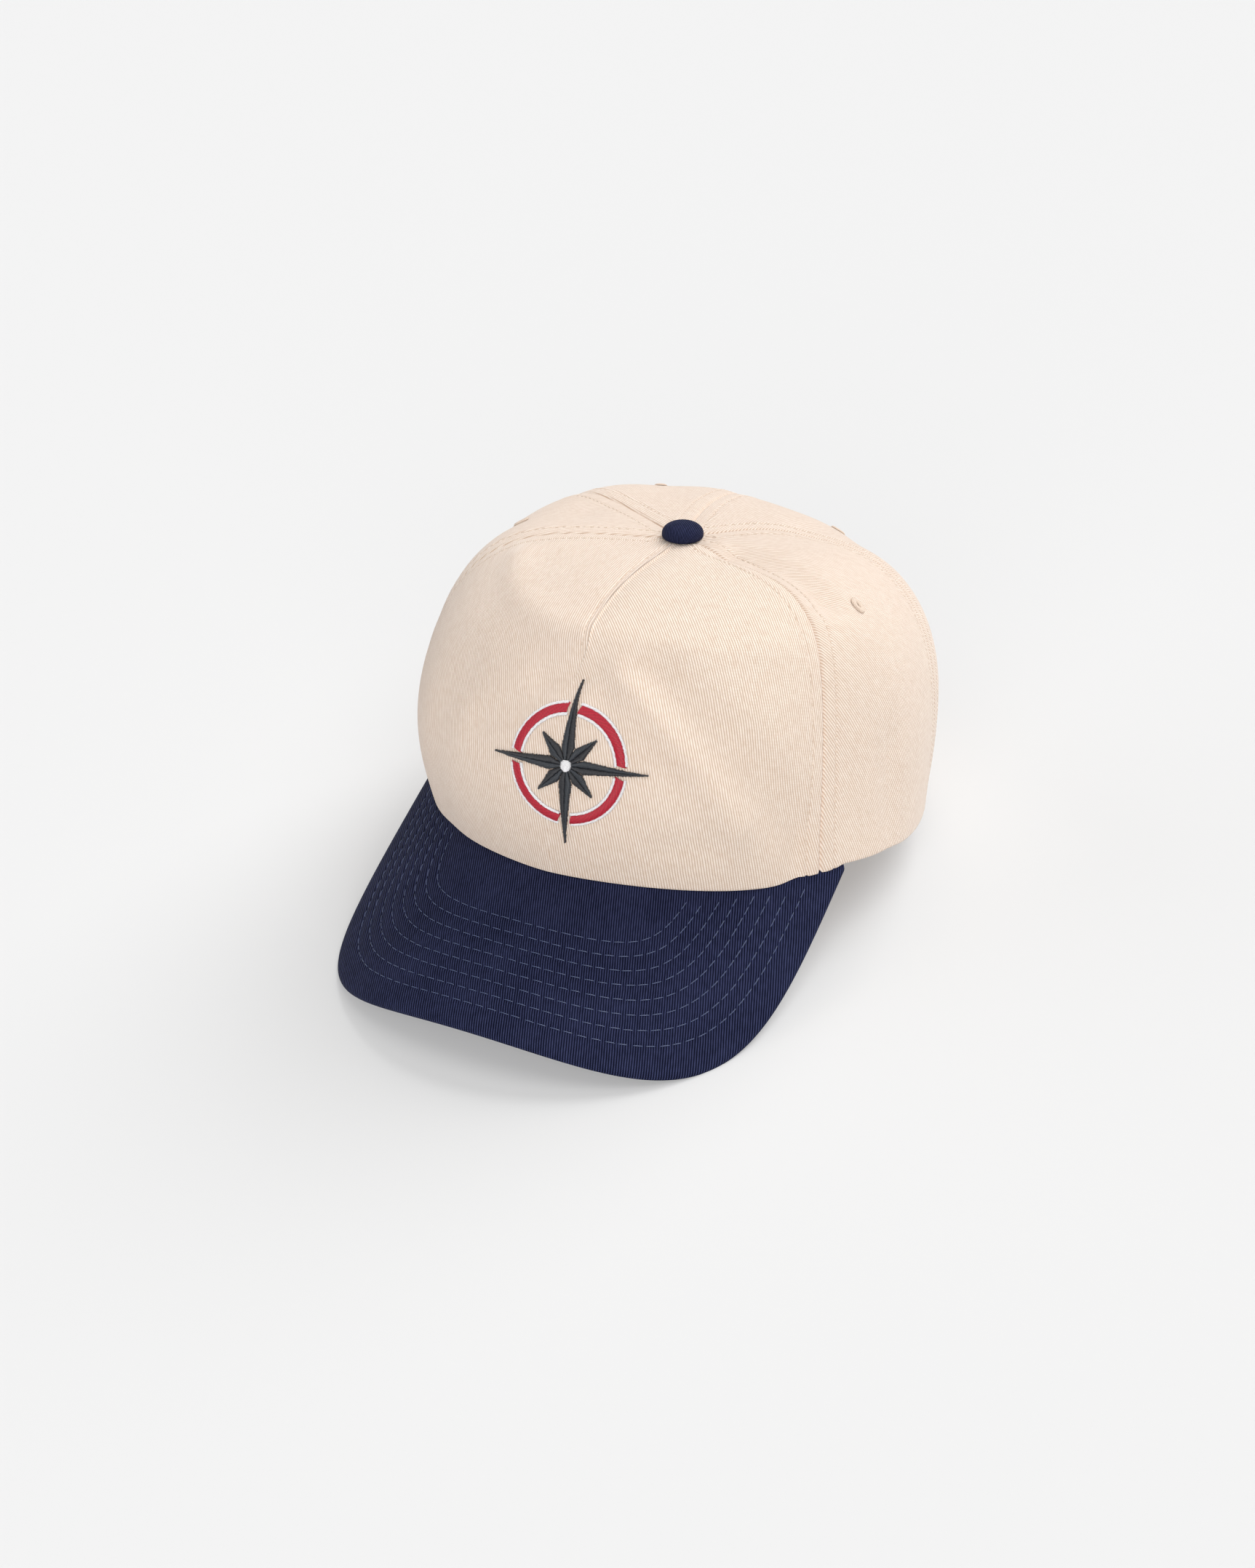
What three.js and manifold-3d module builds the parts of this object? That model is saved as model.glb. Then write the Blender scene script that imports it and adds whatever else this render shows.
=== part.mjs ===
// A five-panel cotton cap, resting on a table as it would by itself.
// Millimetres, +Z up, the brim points along -Y and the wearer's left is +X.
// The cap is drawn in its own frame, with the side hems level, and is then leant
// back until the brim's two front corners and the back strap touch the table.
import * as THREE from 'three';
import { mergeVertices } from 'three/addons/utils/BufferGeometryUtils.js';
import Module from 'manifold-3d';

const wasm = await Module();
wasm.setup();

const DEG = Math.PI / 180;

// Crown
const crownFrontReach = 95.2;   // from the middle to the front hem
const crownBackReach = 98.6;    // from the middle to the back hem
const crownHalfWidth = 94.6;
const crownHeight = 109.3;      // above the back hem
const crownRoundness = 1.83;    // exponent of the hem's outline, 2 is an ellipse
const crownTopLeft = 1.8;       // how far the button sits to the wearer's left
const crownTopForward = 0.6;    // and ahead of the middle
const clothThick = 1.6;
const clearance = 0.3;          // between pieces that touch

// Hem and brim
const frontHemHeight = 14.5;    // of the brim's root above the back hem
const brimHalfWidth = 89.3;
const brimReach = 116.8;        // from the line between its ends to its front edge
const brimRootLine = 33.8;      // that line, ahead of the crown's middle
const brimThick = 3.0;
const brimTuck = 4.0;           // how far the brim runs in under the hem
const brimArch = 44.7;          // how far its sides drop below its middle
const brimFall = 35.5;          // how far its middle falls from the hem to the front edge
const brimSideRoundness = 2.02;
const brimFrontRoundness = 3.99;
const brimTaper = 0.02;         // share of its width lost at the line between its ends
const sideHemBend = 1.38;       // how the side hem comes down to the back
const backHemTurn = 170;        // where it is level with the back

// Seams
const seamDepth = 0.9;
const seamWidth = 5.5;
const seamFade = 14;            // the valleys run out this far from the button
const dartStart = 0.46;         // share of the way from hem to button
const dartTurn = { atHem: 1.5, atTop: -1 };
const dartDepth = 1.3;
const dartWidth = 5;

// Button
const buttonDiameter = 15.2;
const buttonHeight = 6;
const shankDiameter = 5.2;
const shankLength = 3.4;

// Stitched eyelets
const eyeletHole = 4.2;
const eyeletFlange = 6.8;
const eyeletBore = 2.4;
const eyeletRise = 0.9;

// Back closure
const archHalfWidth = 38;
const archHeight = 52;
const strapHeight = 19;
const strapThick = 1.8;
const strapTab = 13;            // how far it runs in behind each back panel

// Embroidered star on the front panel
const starTurn = 5;
const starUp = 0.197;
const starLongPoint = 29;
const starShortPoint = 14.5;
const starValley = 6.2;
const ringRadius = 19.5;
const ringWidth = 3.4;
const emblemThick = 1.1;
const emblemEdge = 0.5;
const emblemGap = 0.5;          // under it, as it spans the curve of the cloth

// Resting
const restFlat = 0.6;           // how much the cloth flattens where it touches the table

// Colours
const cream = 0xf1e0cb;
const navy = 0x232a49;
const charcoal = 0x24262c;
const red = 0xb3202f;

// Sections of the crown by turn from the front towards the wearer's left.
// side and top are the exponents of the section's rounded corner, and swell, how
// far the cloth stands out at half height, is a share of the half width.
const bulgeHold = 0.15;         // how far up the swell is held, as a share of the side exponent
const sections = [
  { turn: -135, side: 8.4, top: 3.0, swell: 0.068 },
  { turn: -100, side: 6.5, top: 2.7, swell: 0.046 },
  { turn: -70, side: 4.9, top: 2.9, swell: 0.039 },
  { turn: -38, side: 3.6, top: 2.5, swell: 0.109 },
  { turn: 0, side: 3.5, top: 2.4, swell: 0.057 },
  { turn: 38, side: 3.9, top: 2.5, swell: 0.044 },
  { turn: 70, side: 4.8, top: 2.6, swell: -0.048 },
  { turn: 100, side: 4.5, top: 2.7, swell: -0.003 },
  { turn: 135, side: 4.0, top: 3.3, swell: 0.081 },
  { turn: 180, side: 4.5, top: 2.6, swell: 0.061 },
];

// Seams between the panels, in order round the crown.
const seams = [
  { atHem: -64, atTop: -73.6, bend: 0.7 },
  { atHem: 62.8, atTop: 78.9, bend: 1 },
  { atHem: 113, atTop: 155, bend: 1.5 },
  { atHem: 180, atTop: 200, bend: 1 },
  { atHem: 246.6, atTop: 237.8, bend: 1 },
];

const panels = [
  { name: 'front_panel', columns: 28, eyelet: null },
  { name: 'left_side_panel', columns: 10, eyelet: { name: 'eyelet_left_side', across: 0.36, up: 0.45 } },
  { name: 'left_back_panel', columns: 15, eyelet: { name: 'eyelet_left_back', across: 0.5, up: 0.45 } },
  { name: 'right_back_panel', columns: 14, eyelet: { name: 'eyelet_right_back', across: 0.5, up: 0.45 } },
  { name: 'right_side_panel', columns: 10, eyelet: { name: 'eyelet_right_side', across: 0.5, up: 0.45 } },
];
const panelRows = 16;
const rowCrowding = 1.3;        // the rows lie closer together near the hem
const columnCrowding = 0.07;    // and the columns near the seams

// Soft folds in the cloth, each a trough or, with a negative depth, a ridge
// between two places. wide is a share of the half width, deep of the height.
const meridianShare = 1.4;      // the cloth's length from hem to top, by the height
const folds = [
  { turn: 21, up: 0.47, toTurn: 40, toUp: 0.11, wide: 0.1, deep: 0.02 },
  { turn: 31, up: 0.43, toTurn: 47, toUp: 0.12, wide: 0.07, deep: -0.011 },
  { turn: 3, up: 0.425, toTurn: 14, toUp: 0.41, wide: 0.09, deep: 0.012 },
  { turn: -30, up: 0.3, toTurn: -34, toUp: 0.06, wide: 0.12, deep: 0.01 },
  { turn: 92, up: 0.7, toTurn: 80, toUp: 0.42, wide: 0.1, deep: 0.022 },
  { turn: 84, up: 0.03, toTurn: 86, toUp: 0.12, wide: 0.06, deep: 0.008 },
  { turn: 140, up: 0.62, toTurn: 150, toUp: 0.3, wide: 0.14, deep: 0.016 },
  { turn: -150, up: 0.6, toTurn: -140, toUp: 0.28, wide: 0.14, deep: 0.014 },
  { turn: -98, up: 0.66, toTurn: -90, toUp: 0.36, wide: 0.11, deep: 0.015 },
];

// The value of one column of the sections at a turn, on a smooth closed curve.
function sectionValue(column, turn) {
  const count = sections.length;
  const start = sections[0].turn;
  const place = start + THREE.MathUtils.euclideanModulo(turn - start, 360);
  let index = count - 1;
  while (sections[index].turn > place) index -= 1;
  const row = (step) => sections[THREE.MathUtils.euclideanModulo(index + step, count)];
  const at = (step) => row(step).turn + 360 * Math.floor((index + step) / count);
  const span = at(1) - at(0);
  const share = (place - at(0)) / span;
  const slopeIn = (row(1)[column] - row(-1)[column]) / (at(1) - at(-1)) * span;
  const slopeOut = (row(2)[column] - row(0)[column]) / (at(2) - at(0)) * span;
  const s2 = share * share;
  const s3 = s2 * share;
  return (2 * s3 - 3 * s2 + 1) * row(0)[column] + (s3 - 2 * s2 + share) * slopeIn
    + (3 * s2 - 2 * s3) * row(1)[column] + (s3 - s2) * slopeOut;
}

// How far the hem lies from the middle, on a rounded outline.
function hemReach(turn) {
  const along = turn * DEG;
  const reach = Math.cos(along) > 0 ? crownFrontReach : crownBackReach;
  const n = crownRoundness;
  const side = (Math.abs(Math.sin(along)) / crownHalfWidth) ** n;
  const front = (Math.abs(Math.cos(along)) / reach) ** n;
  return (side + front) ** (-1 / n);
}

// The brim's length ahead of the hem.
const brimLength = brimRootLine + brimReach - crownFrontReach;

// The brim's upper face: an arch across that falls towards the front.
function brimTop(x, y) {
  const fall = brimFall * (y + crownFrontReach) / brimLength;
  return frontHemHeight + fall - brimArch * (x / brimHalfWidth) ** 2;
}

const brimEndTurn = Math.atan2(brimHalfWidth, brimRootLine) / DEG;

// Turn measured from the front to either side, 0 to 180.
function turnFromFront(turn) {
  return Math.abs(THREE.MathUtils.euclideanModulo(turn + 180, 360) - 180);
}

// The hem lies on the brim and then comes down to the back.
function hemHeight(turn, x, y) {
  const aside = turnFromFront(turn);
  if (aside <= brimEndTurn) return brimTop(x, y) + clearance;
  const reach = hemReach(brimEndTurn) + Math.hypot(x, y) - hemReach(turn);
  const endX = reach * Math.sin(brimEndTurn * DEG);
  const endY = -reach * Math.cos(brimEndTurn * DEG);
  const share = Math.min(1, (aside - brimEndTurn) / (backHemTurn - brimEndTurn));
  return (brimTop(endX, endY) + clearance) * (1 - share) ** sideHemBend;
}

// A point of the section at one turn: how far out, how high, and the share of
// the rise from hem to top. up runs from 0 at the hem to 1 at the button.
function sectionPoint(turn, up) {
  const hem = hemReach(turn);
  const side = sectionValue('side', turn);
  const closing = Math.max(0, Math.cos(up * Math.PI / 2));
  const rise = (1 - closing ** side) ** (1 / sectionValue('top', turn));
  const bulge = sectionValue('swell', turn) * crownHalfWidth * Math.sin(Math.PI * rise);
  const reach = hem * closing + bulge * closing ** (bulgeHold * side);
  const base = hemHeight(turn, hem * Math.sin(turn * DEG), -hem * Math.cos(turn * DEG));
  return { reach, height: base + (crownHeight - base) * rise, rise };
}

function seamTurn(seam, up) {
  return seam.atHem + (seam.atTop - seam.atHem) * up ** seam.bend;
}

// Depth of a rounded valley at a distance from its middle line.
function valley(distance, width) {
  return Math.exp(-((distance / width) ** 2));
}

function turnBetween(from, to) {
  return THREE.MathUtils.euclideanModulo(to - from + 180, 360) - 180;
}

// How far the cloth stands out of the smooth crown: valleys at the seams, the
// dart and the soft folds.
function relief(turn, up, reach) {
  const millimetres = (from) => reach * Math.abs(turnBetween(from, turn)) * DEG;
  const nearest = Math.min(...seams.map((seam) => millimetres(seamTurn(seam, up))));
  const fade = Math.min(1, reach / seamFade) ** 2;
  let depth = seamDepth * valley(nearest, seamWidth) * fade;
  const dartShare = THREE.MathUtils.smoothstep(up, dartStart, dartStart + 0.12);
  const dartPlace = THREE.MathUtils.lerp(dartTurn.atHem, dartTurn.atTop, up);
  depth += dartDepth * dartShare * fade * valley(millimetres(dartPlace), dartWidth);
  for (const fold of folds) depth += foldDepth(fold, turn, up, reach);
  return -depth;
}

// The depth of one fold, by the distance to the line between its two ends.
function foldDepth(fold, turn, up, reach) {
  const meridian = crownHeight * meridianShare;
  const alongX = reach * turnBetween(fold.turn, fold.toTurn) * DEG;
  const alongY = meridian * (fold.toUp - fold.up);
  const x = reach * turnBetween(fold.turn, turn) * DEG;
  const y = meridian * (up - fold.up);
  const square = alongX ** 2 + alongY ** 2;
  const share = THREE.MathUtils.clamp((x * alongX + y * alongY) / square, 0, 1);
  const distance = Math.hypot(x - share * alongX, y - share * alongY);
  return fold.deep * crownHeight * valley(distance, fold.wide * crownHalfWidth);
}

// A point of the crown, set in from its outer face by a depth of cloth. It is
// set in along the section, so two panels never cross at their seam.
function crownPoint(turn, up, inset) {
  const step = 0.004;
  const here = sectionPoint(turn, up);
  const below = sectionPoint(turn, Math.max(0, up - step));
  const above = sectionPoint(turn, up + step);
  const outReach = above.height - below.height;
  const outHeight = below.reach - above.reach;
  const length = Math.hypot(outReach, outHeight);
  const stand = relief(turn, up, here.reach) - inset;
  const reach = here.reach + stand * outReach / length;
  const height = here.height + stand * outHeight / length;
  const x = reach * Math.sin(turn * DEG) + crownTopLeft * here.rise;
  const y = -reach * Math.cos(turn * DEG) - crownTopForward * here.rise;
  return new THREE.Vector3(x, y, up === 0 ? hemHeight(turn, x, y) : height);
}

function crownNormal(turn, up) {
  const step = 0.5;
  const across = crownPoint(turn + step, up, 0).sub(crownPoint(turn - step, up, 0));
  const along = crownPoint(turn, up + 0.01, 0).sub(crownPoint(turn, up - 0.01, 0));
  return across.cross(along).normalize();
}

// The share of up at which the section closes to the shank's hole.
function topUp(turn) {
  const hole = shankDiameter / 2 + clearance;
  return Math.acos(hole / hemReach(turn)) * 2 / Math.PI;
}

// A closed geometry from rows of points that form two faces, front and back,
// and the strips between their borders.
function slab(front, back) {
  const rows = front.length;
  const columns = front[0].length;
  const positions = [...front.flat(), ...back.flat()].flatMap((point) => point.toArray());
  const faces = [];
  const index = (side, row, column) => (side * rows + row) * columns + column;
  const quad = (a, b, c, d) => faces.push(a, b, c, a, c, d);
  for (let row = 0; row < rows - 1; row += 1) {
    for (let column = 0; column < columns - 1; column += 1) {
      quad(index(0, row, column), index(0, row, column + 1), index(0, row + 1, column + 1), index(0, row + 1, column));
      quad(index(1, row, column), index(1, row + 1, column), index(1, row + 1, column + 1), index(1, row, column + 1));
    }
  }
  for (let column = 0; column < columns - 1; column += 1) {
    const last = rows - 1;
    quad(index(1, 0, column), index(1, 0, column + 1), index(0, 0, column + 1), index(0, 0, column));
    quad(index(0, last, column), index(0, last, column + 1), index(1, last, column + 1), index(1, last, column));
  }
  for (let row = 0; row < rows - 1; row += 1) {
    const last = columns - 1;
    quad(index(0, row, 0), index(0, row + 1, 0), index(1, row + 1, 0), index(1, row, 0));
    quad(index(0, row, last), index(1, row, last), index(1, row + 1, last), index(0, row + 1, last));
  }
  const geometry = new THREE.BufferGeometry();
  geometry.setAttribute('position', new THREE.Float32BufferAttribute(positions, 3));
  geometry.setIndex(faces);
  return geometry;
}

// Shares from 0 to 1 that crowd towards both ends, with any extra share added.
function crowdedShares(count, extra) {
  const shares = [];
  for (let k = 0; k <= count; k += 1) {
    const even = k / count;
    shares.push(even - columnCrowding * Math.sin(2 * Math.PI * even));
  }
  if (extra > 0 && extra < 1) shares.push(extra);
  return shares.sort((a, b) => a - b);
}

// The share across a panel at which the brim ends below its hem.
function brimEndShare(from, to) {
  const ends = [brimEndTurn, -brimEndTurn, 360 - brimEndTurn];
  const shares = ends.map((end) => (end - from.atHem) / (to.atHem - from.atHem));
  return shares.find((share) => share > 0 && share < 1) ?? 0;
}

function nextSeam(index) {
  const seam = seams[(index + 1) % seams.length];
  if (index < seams.length - 1) return seam;
  return { atHem: seam.atHem + 360, atTop: seam.atTop + 360, bend: seam.bend };
}

function panelTurn(index, across, up) {
  return THREE.MathUtils.lerp(seamTurn(seams[index], up), seamTurn(nextSeam(index), up), across);
}

function panelGeometry(index) {
  const shares = crowdedShares(panels[index].columns, brimEndShare(seams[index], nextSeam(index)));
  const grid = (inset) => {
    const rows = [];
    for (let row = 0; row <= panelRows; row += 1) {
      const share = (row / panelRows) ** rowCrowding;
      rows.push(shares.map((across) => {
        const up = share * topUp(panelTurn(index, across, 1));
        const reach = Math.max(sectionPoint(panelTurn(index, across, up), up).reach, 1);
        const half = clearance / 2 / reach / DEG;
        const turn = panelTurn(index, across, up) + THREE.MathUtils.lerp(half, -half, across);
        return crownPoint(turn, up, inset);
      }));
    }
    return rows;
  };
  return slab(grid(0), grid(clothThick));
}

function toSolid(geometry) {
  const bare = geometry.clone();
  bare.deleteAttribute('normal');
  bare.deleteAttribute('uv');
  const merged = mergeVertices(bare, 1e-4);
  const vertProperties = new Float32Array(merged.attributes.position.array);
  const triVerts = new Uint32Array(merged.index.array);
  return new wasm.Manifold(new wasm.Mesh({ numProp: 3, vertProperties, triVerts }));
}

function fromSolid(solid) {
  const mesh = solid.getMesh();
  const geometry = new THREE.BufferGeometry();
  geometry.setAttribute('position', new THREE.Float32BufferAttribute(mesh.vertProperties, 3));
  geometry.setIndex(Array.from(mesh.triVerts));
  return geometry;
}

// The matrix that stands a piece on the crown, with its +Z along the cloth's normal.
function crownSeat(turn, up) {
  const normal = crownNormal(turn, up);
  const turned = new THREE.Quaternion().setFromUnitVectors(new THREE.Vector3(0, 0, 1), normal);
  return new THREE.Matrix4().compose(crownPoint(turn, up, 0), turned, new THREE.Vector3(1, 1, 1));
}

function eyeletPlace(index) {
  const { across, up } = panels[index].eyelet;
  return { turn: panelTurn(index, across, up), up };
}

// The cutter of an eyelet's hole, through the cloth at its place.
function eyeletCutter(index) {
  const { turn, up } = eyeletPlace(index);
  const cutter = new THREE.CylinderGeometry(eyeletHole / 2, eyeletHole / 2, clothThick * 4, 12);
  cutter.rotateX(90 * DEG);
  cutter.applyMatrix4(crownSeat(turn, up));
  return toSolid(cutter);
}

// The arched opening above the back strap, through both back panels.
function archCutter() {
  const shape = new THREE.Shape();
  const shoulder = archHeight - archHalfWidth;
  shape.moveTo(-archHalfWidth, -archHeight);
  shape.lineTo(archHalfWidth, -archHeight);
  shape.lineTo(archHalfWidth, shoulder);
  shape.absellipse(0, shoulder, archHalfWidth, archHeight - shoulder, 0, Math.PI, false, 0);
  const depth = crownBackReach;
  const cutter = new THREE.ExtrudeGeometry(shape, { depth, bevelEnabled: false, curveSegments: 14 });
  cutter.rotateX(90 * DEG);
  cutter.translate(0, crownBackReach * 1.4, 0);
  return toSolid(cutter);
}

function clothMaterial(color) {
  return new THREE.MeshStandardMaterial({ color, roughness: 0.92, metalness: 0 });
}

function piece(name, geometry, color) {
  const mesh = new THREE.Mesh(geometry, clothMaterial(color));
  mesh.name = name;
  return mesh;
}

function makePanels() {
  return panels.map((panel, index) => {
    let solid = toSolid(panelGeometry(index));
    if (panel.eyelet) solid = solid.subtract(eyeletCutter(index));
    if (panel.name.includes('back')) solid = solid.subtract(archCutter());
    return piece(panel.name, fromSolid(solid), cream);
  });
}

// A stitched ring with a short barrel through the cloth.
function makeEyelets() {
  const barrel = eyeletHole / 2 - clearance;
  const bore = eyeletBore / 2;
  const flange = eyeletFlange / 2;
  const profile = [
    [bore, -clothThick], [barrel, -clothThick], [barrel, clearance], [flange, clearance],
    [flange - 0.1, clearance + eyeletRise * 0.5], [flange - 0.7, clearance + eyeletRise],
    [bore + 0.4, clearance + eyeletRise], [bore, clearance + eyeletRise * 0.5], [bore, -clothThick],
  ].map(([radius, height]) => new THREE.Vector2(radius, height));
  const withEyelet = panels.map((panel, index) => index).filter((index) => panels[index].eyelet);
  return withEyelet.map((index) => {
    const { turn, up } = eyeletPlace(index);
    const ring = piece(panels[index].eyelet.name, latheUp(profile, 12), cream);
    ring.applyMatrix4(crownSeat(turn, up));
    return ring;
  });
}

// A turned piece about +Z from a profile of radius and height.
function latheUp(profile, segments) {
  const geometry = new THREE.LatheGeometry(profile, segments);
  geometry.rotateX(90 * DEG);
  return geometry;
}

// The cloth-covered button, a low dome on a shank that closes the panels' meeting point.
function makeButton() {
  const shank = shankDiameter / 2;
  const radius = buttonDiameter / 2;
  const edge = buttonHeight * 0.3;
  const profile = [[0, -shankLength], [shank, -shankLength], [shank, 0], [radius * 0.93, 0]];
  const steps = 7;
  for (let k = 0; k <= steps; k += 1) {
    const angle = 90 * DEG * k / steps;
    profile.push([radius * Math.cos(angle) ** 0.8, edge + (buttonHeight - edge) * Math.sin(angle)]);
  }
  profile[profile.length - 1][0] = 0;
  const points = profile.map(([r, height]) => new THREE.Vector2(r, height));
  const button = piece('top_button', latheUp(points, 24), navy);
  button.position.set(crownTopLeft, -crownTopForward, crownHeight + clearance);
  return button;
}

// The brim's edge seen from above, from the wearer's right end round the front to the left.
class BrimEdge extends THREE.Curve {
  getPoint(share, target = new THREE.Vector3()) {
    const angle = (share - 0.5) * Math.PI;
    const sine = Math.sin(angle);
    const ahead = Math.max(0, Math.cos(angle)) ** (2 / brimFrontRoundness);
    const narrow = 1 - brimTaper * (1 - ahead) ** 2;
    const across = Math.sign(sine) * Math.abs(sine) ** (2 / brimSideRoundness);
    return target.set(brimHalfWidth * across * narrow, -brimRootLine - brimReach * ahead, 0);
  }
}

// A point of the brim, below its upper face by a depth measured square to it.
function brimPoint(x, y, depth) {
  const normal = new THREE.Vector3(
    2 * brimArch * x / brimHalfWidth ** 2,
    -brimFall / brimLength,
    1,
  ).normalize();
  return new THREE.Vector3(x, y, brimTop(x, y)).addScaledVector(normal, -depth);
}

// One solid: an upper and an under face between the tucked edge and the outer
// edge, which is rounded over.
function makeBrim() {
  const stations = 48;
  const outer = new BrimEdge().getSpacedPoints(stations);
  const acrossShares = [0, 0.12, 0.3, 0.5, 0.7, 0.86, 0.96];
  const section = (station) => {
    const turn = THREE.MathUtils.lerp(-brimEndTurn, brimEndTurn, station / stations);
    const inner = hemReach(turn) - brimTuck;
    const start = new THREE.Vector2(inner * Math.sin(turn * DEG), -inner * Math.cos(turn * DEG));
    const end = new THREE.Vector2(outer[station].x, outer[station].y);
    const width = start.distanceTo(end);
    const at = (share, depth) => {
      const spot = start.clone().lerp(end, share);
      return brimPoint(spot.x, spot.y, depth);
    };
    const edge = 1 - Math.min(0.04, brimThick * 0.25 / width);
    const shares = [...acrossShares.map((share) => share * edge / 0.96)];
    const top = [...shares.map((share) => at(share, 0)), at(1, brimThick * 0.35)];
    const under = [...shares.map((share) => at(share, brimThick)), at(1, brimThick * 0.65)];
    return { top, under };
  };
  const lengthwise = [...Array(stations + 1).keys()].map(section);
  const geometry = slab(lengthwise.map((row) => row.top), lengthwise.map((row) => row.under));
  return piece('brim', geometry, navy);
}

// The closure: one plain band behind the back panels that bridges the arch.
function makeStrap() {
  const reach = hemReach(180);
  const spread = Math.asin(archHalfWidth / reach) / DEG + strapTab / reach / DEG;
  const columns = 22;
  const grid = (inset) => [0, 0.35, 0.7, 1].map((share) => {
    const row = [];
    for (let column = 0; column <= columns; column += 1) {
      const turn = 180 + spread * (2 * column / columns - 1);
      const rise = share * strapHeight / crownHeight;
      const closing = (1 - rise ** sectionValue('top', turn)) ** (1 / sectionValue('side', turn));
      row.push(crownPoint(turn, Math.acos(closing) * 2 / Math.PI, inset));
    }
    return row;
  });
  const outside = clothThick + clearance;
  return piece('back_strap', slab(grid(outside), grid(outside + strapThick)), cream);
}

// The place on the crown whose distance from the star's middle is a to the
// wearer's left and b up, measured square to the cloth there, raised by a lift.
function emblemPoint(a, b, lift) {
  const middle = crownPoint(starTurn, starUp, 0);
  const normal = crownNormal(starTurn, starUp);
  const aside = new THREE.Vector3(0, 0, 1).cross(normal).normalize();
  const upward = normal.clone().cross(aside);
  const local = (turn, up) => {
    const offset = crownPoint(turn, up, 0).sub(middle);
    return [offset.dot(aside) - a, offset.dot(upward) - b];
  };
  let turn = starTurn;
  let up = starUp;
  for (let pass = 0; pass < 7; pass += 1) {
    const [missA, missB] = local(turn, up);
    const turned = local(turn + 0.5, up);
    const raised = local(turn, up + 0.005);
    const aByTurn = (turned[0] - missA) / 0.5;
    const bByTurn = (turned[1] - missB) / 0.5;
    const aByUp = (raised[0] - missA) / 0.005;
    const bByUp = (raised[1] - missB) / 0.005;
    const scale = aByTurn * bByUp - aByUp * bByTurn;
    turn -= (missA * bByUp - missB * aByUp) / scale;
    up = Math.max(0.005, up - (missB * aByTurn - missA * bByTurn) / scale);
  }
  return crownPoint(turn, up, 0).addScaledVector(crownNormal(turn, up), lift);
}

// The star's outline on the flat: eight straight-sided points, long and short in turn.
function starOutline() {
  const corners = 16;
  const steps = 3;
  const cornerAt = (corner) => {
    const angle = corner / corners * 2 * Math.PI;
    const pointed = corner % 4 === 0 ? starLongPoint : starShortPoint;
    const reach = corner % 2 === 0 ? pointed : starValley;
    return new THREE.Vector2(reach * Math.sin(angle), reach * Math.cos(angle));
  };
  const outline = [];
  for (let corner = 0; corner < corners; corner += 1) {
    for (let step = 0; step < steps; step += 1) {
      outline.push(cornerAt(corner).lerp(cornerAt(corner + 1), step / steps));
    }
  }
  return outline;
}

// The embroidered star, thick in the middle and thin at its edge.
function makeStar() {
  const outline = starOutline();
  const rings = [0.27, 0.52, 0.77, 1];
  const topLift = (share) => emblemGap + THREE.MathUtils.lerp(emblemThick, emblemEdge, share);
  const points = [emblemPoint(0, 0, topLift(0)), emblemPoint(0, 0, emblemGap)];
  for (const share of rings) {
    for (const { x, y } of outline) {
      points.push(emblemPoint(x * share, y * share, topLift(share)));
      points.push(emblemPoint(x * share, y * share, emblemGap));
    }
  }
  const index = (ring, spot) => 2 + (ring * outline.length + spot % outline.length) * 2;
  const faces = [];
  const last = rings.length - 1;
  for (let spot = 0; spot < outline.length; spot += 1) {
    const [near, far] = [index(0, spot), index(0, spot + 1)];
    faces.push(0, far, near, 1, near + 1, far + 1);
    for (let ring = 0; ring < last; ring += 1) {
      const [a, b] = [index(ring, spot), index(ring, spot + 1)];
      const [c, d] = [index(ring + 1, spot + 1), index(ring + 1, spot)];
      faces.push(a, b, c, a, c, d, a + 1, c + 1, b + 1, a + 1, d + 1, c + 1);
    }
    const [a, b] = [index(last, spot), index(last, spot + 1)];
    faces.push(a, b, b + 1, a, b + 1, a + 1);
  }
  const geometry = new THREE.BufferGeometry();
  const positions = points.flatMap((point) => point.toArray());
  geometry.setAttribute('position', new THREE.Float32BufferAttribute(positions, 3));
  geometry.setIndex(faces);
  return piece('emblem_star', geometry, charcoal);
}

// The ring round the star, in four arcs that stop short of its long points.
function makeRing() {
  const names = ['upper_left', 'lower_left', 'lower_right', 'upper_right'];
  const inner = ringRadius - ringWidth / 2;
  const outer = ringRadius + ringWidth / 2;
  const taper = (starLongPoint - inner) / (starLongPoint - starValley);
  const pointHalf = starValley * Math.sin(22.5 * DEG) * taper;
  const stop = Math.asin((pointHalf + 3 * clearance) / inner);
  return names.map((name, quarter) => {
    const grid = (lift) => [inner, outer].map((radius) => {
      const row = [];
      for (let step = 0; step <= 8; step += 1) {
        const angle = quarter * 90 * DEG + THREE.MathUtils.lerp(stop, 90 * DEG - stop, step / 8);
        row.push(emblemPoint(radius * Math.sin(angle), radius * Math.cos(angle), lift));
      }
      return row;
    });
    return piece(`emblem_arc_${name}`, slab(grid(emblemGap + emblemThick), grid(emblemGap)), red);
  });
}

// Every corner of a piece in the cap's own frame.
function cornersOf(mesh) {
  mesh.updateMatrix();
  const attribute = mesh.geometry.attributes.position;
  const corners = [];
  for (let k = 0; k < attribute.count; k += 1) {
    corners.push(new THREE.Vector3().fromBufferAttribute(attribute, k).applyMatrix4(mesh.matrix));
  }
  return corners;
}

function lowestWhenLeant(corners, lean) {
  return Math.min(...corners.map((corner) => corner.y * Math.sin(lean) + corner.z * Math.cos(lean)));
}

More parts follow.
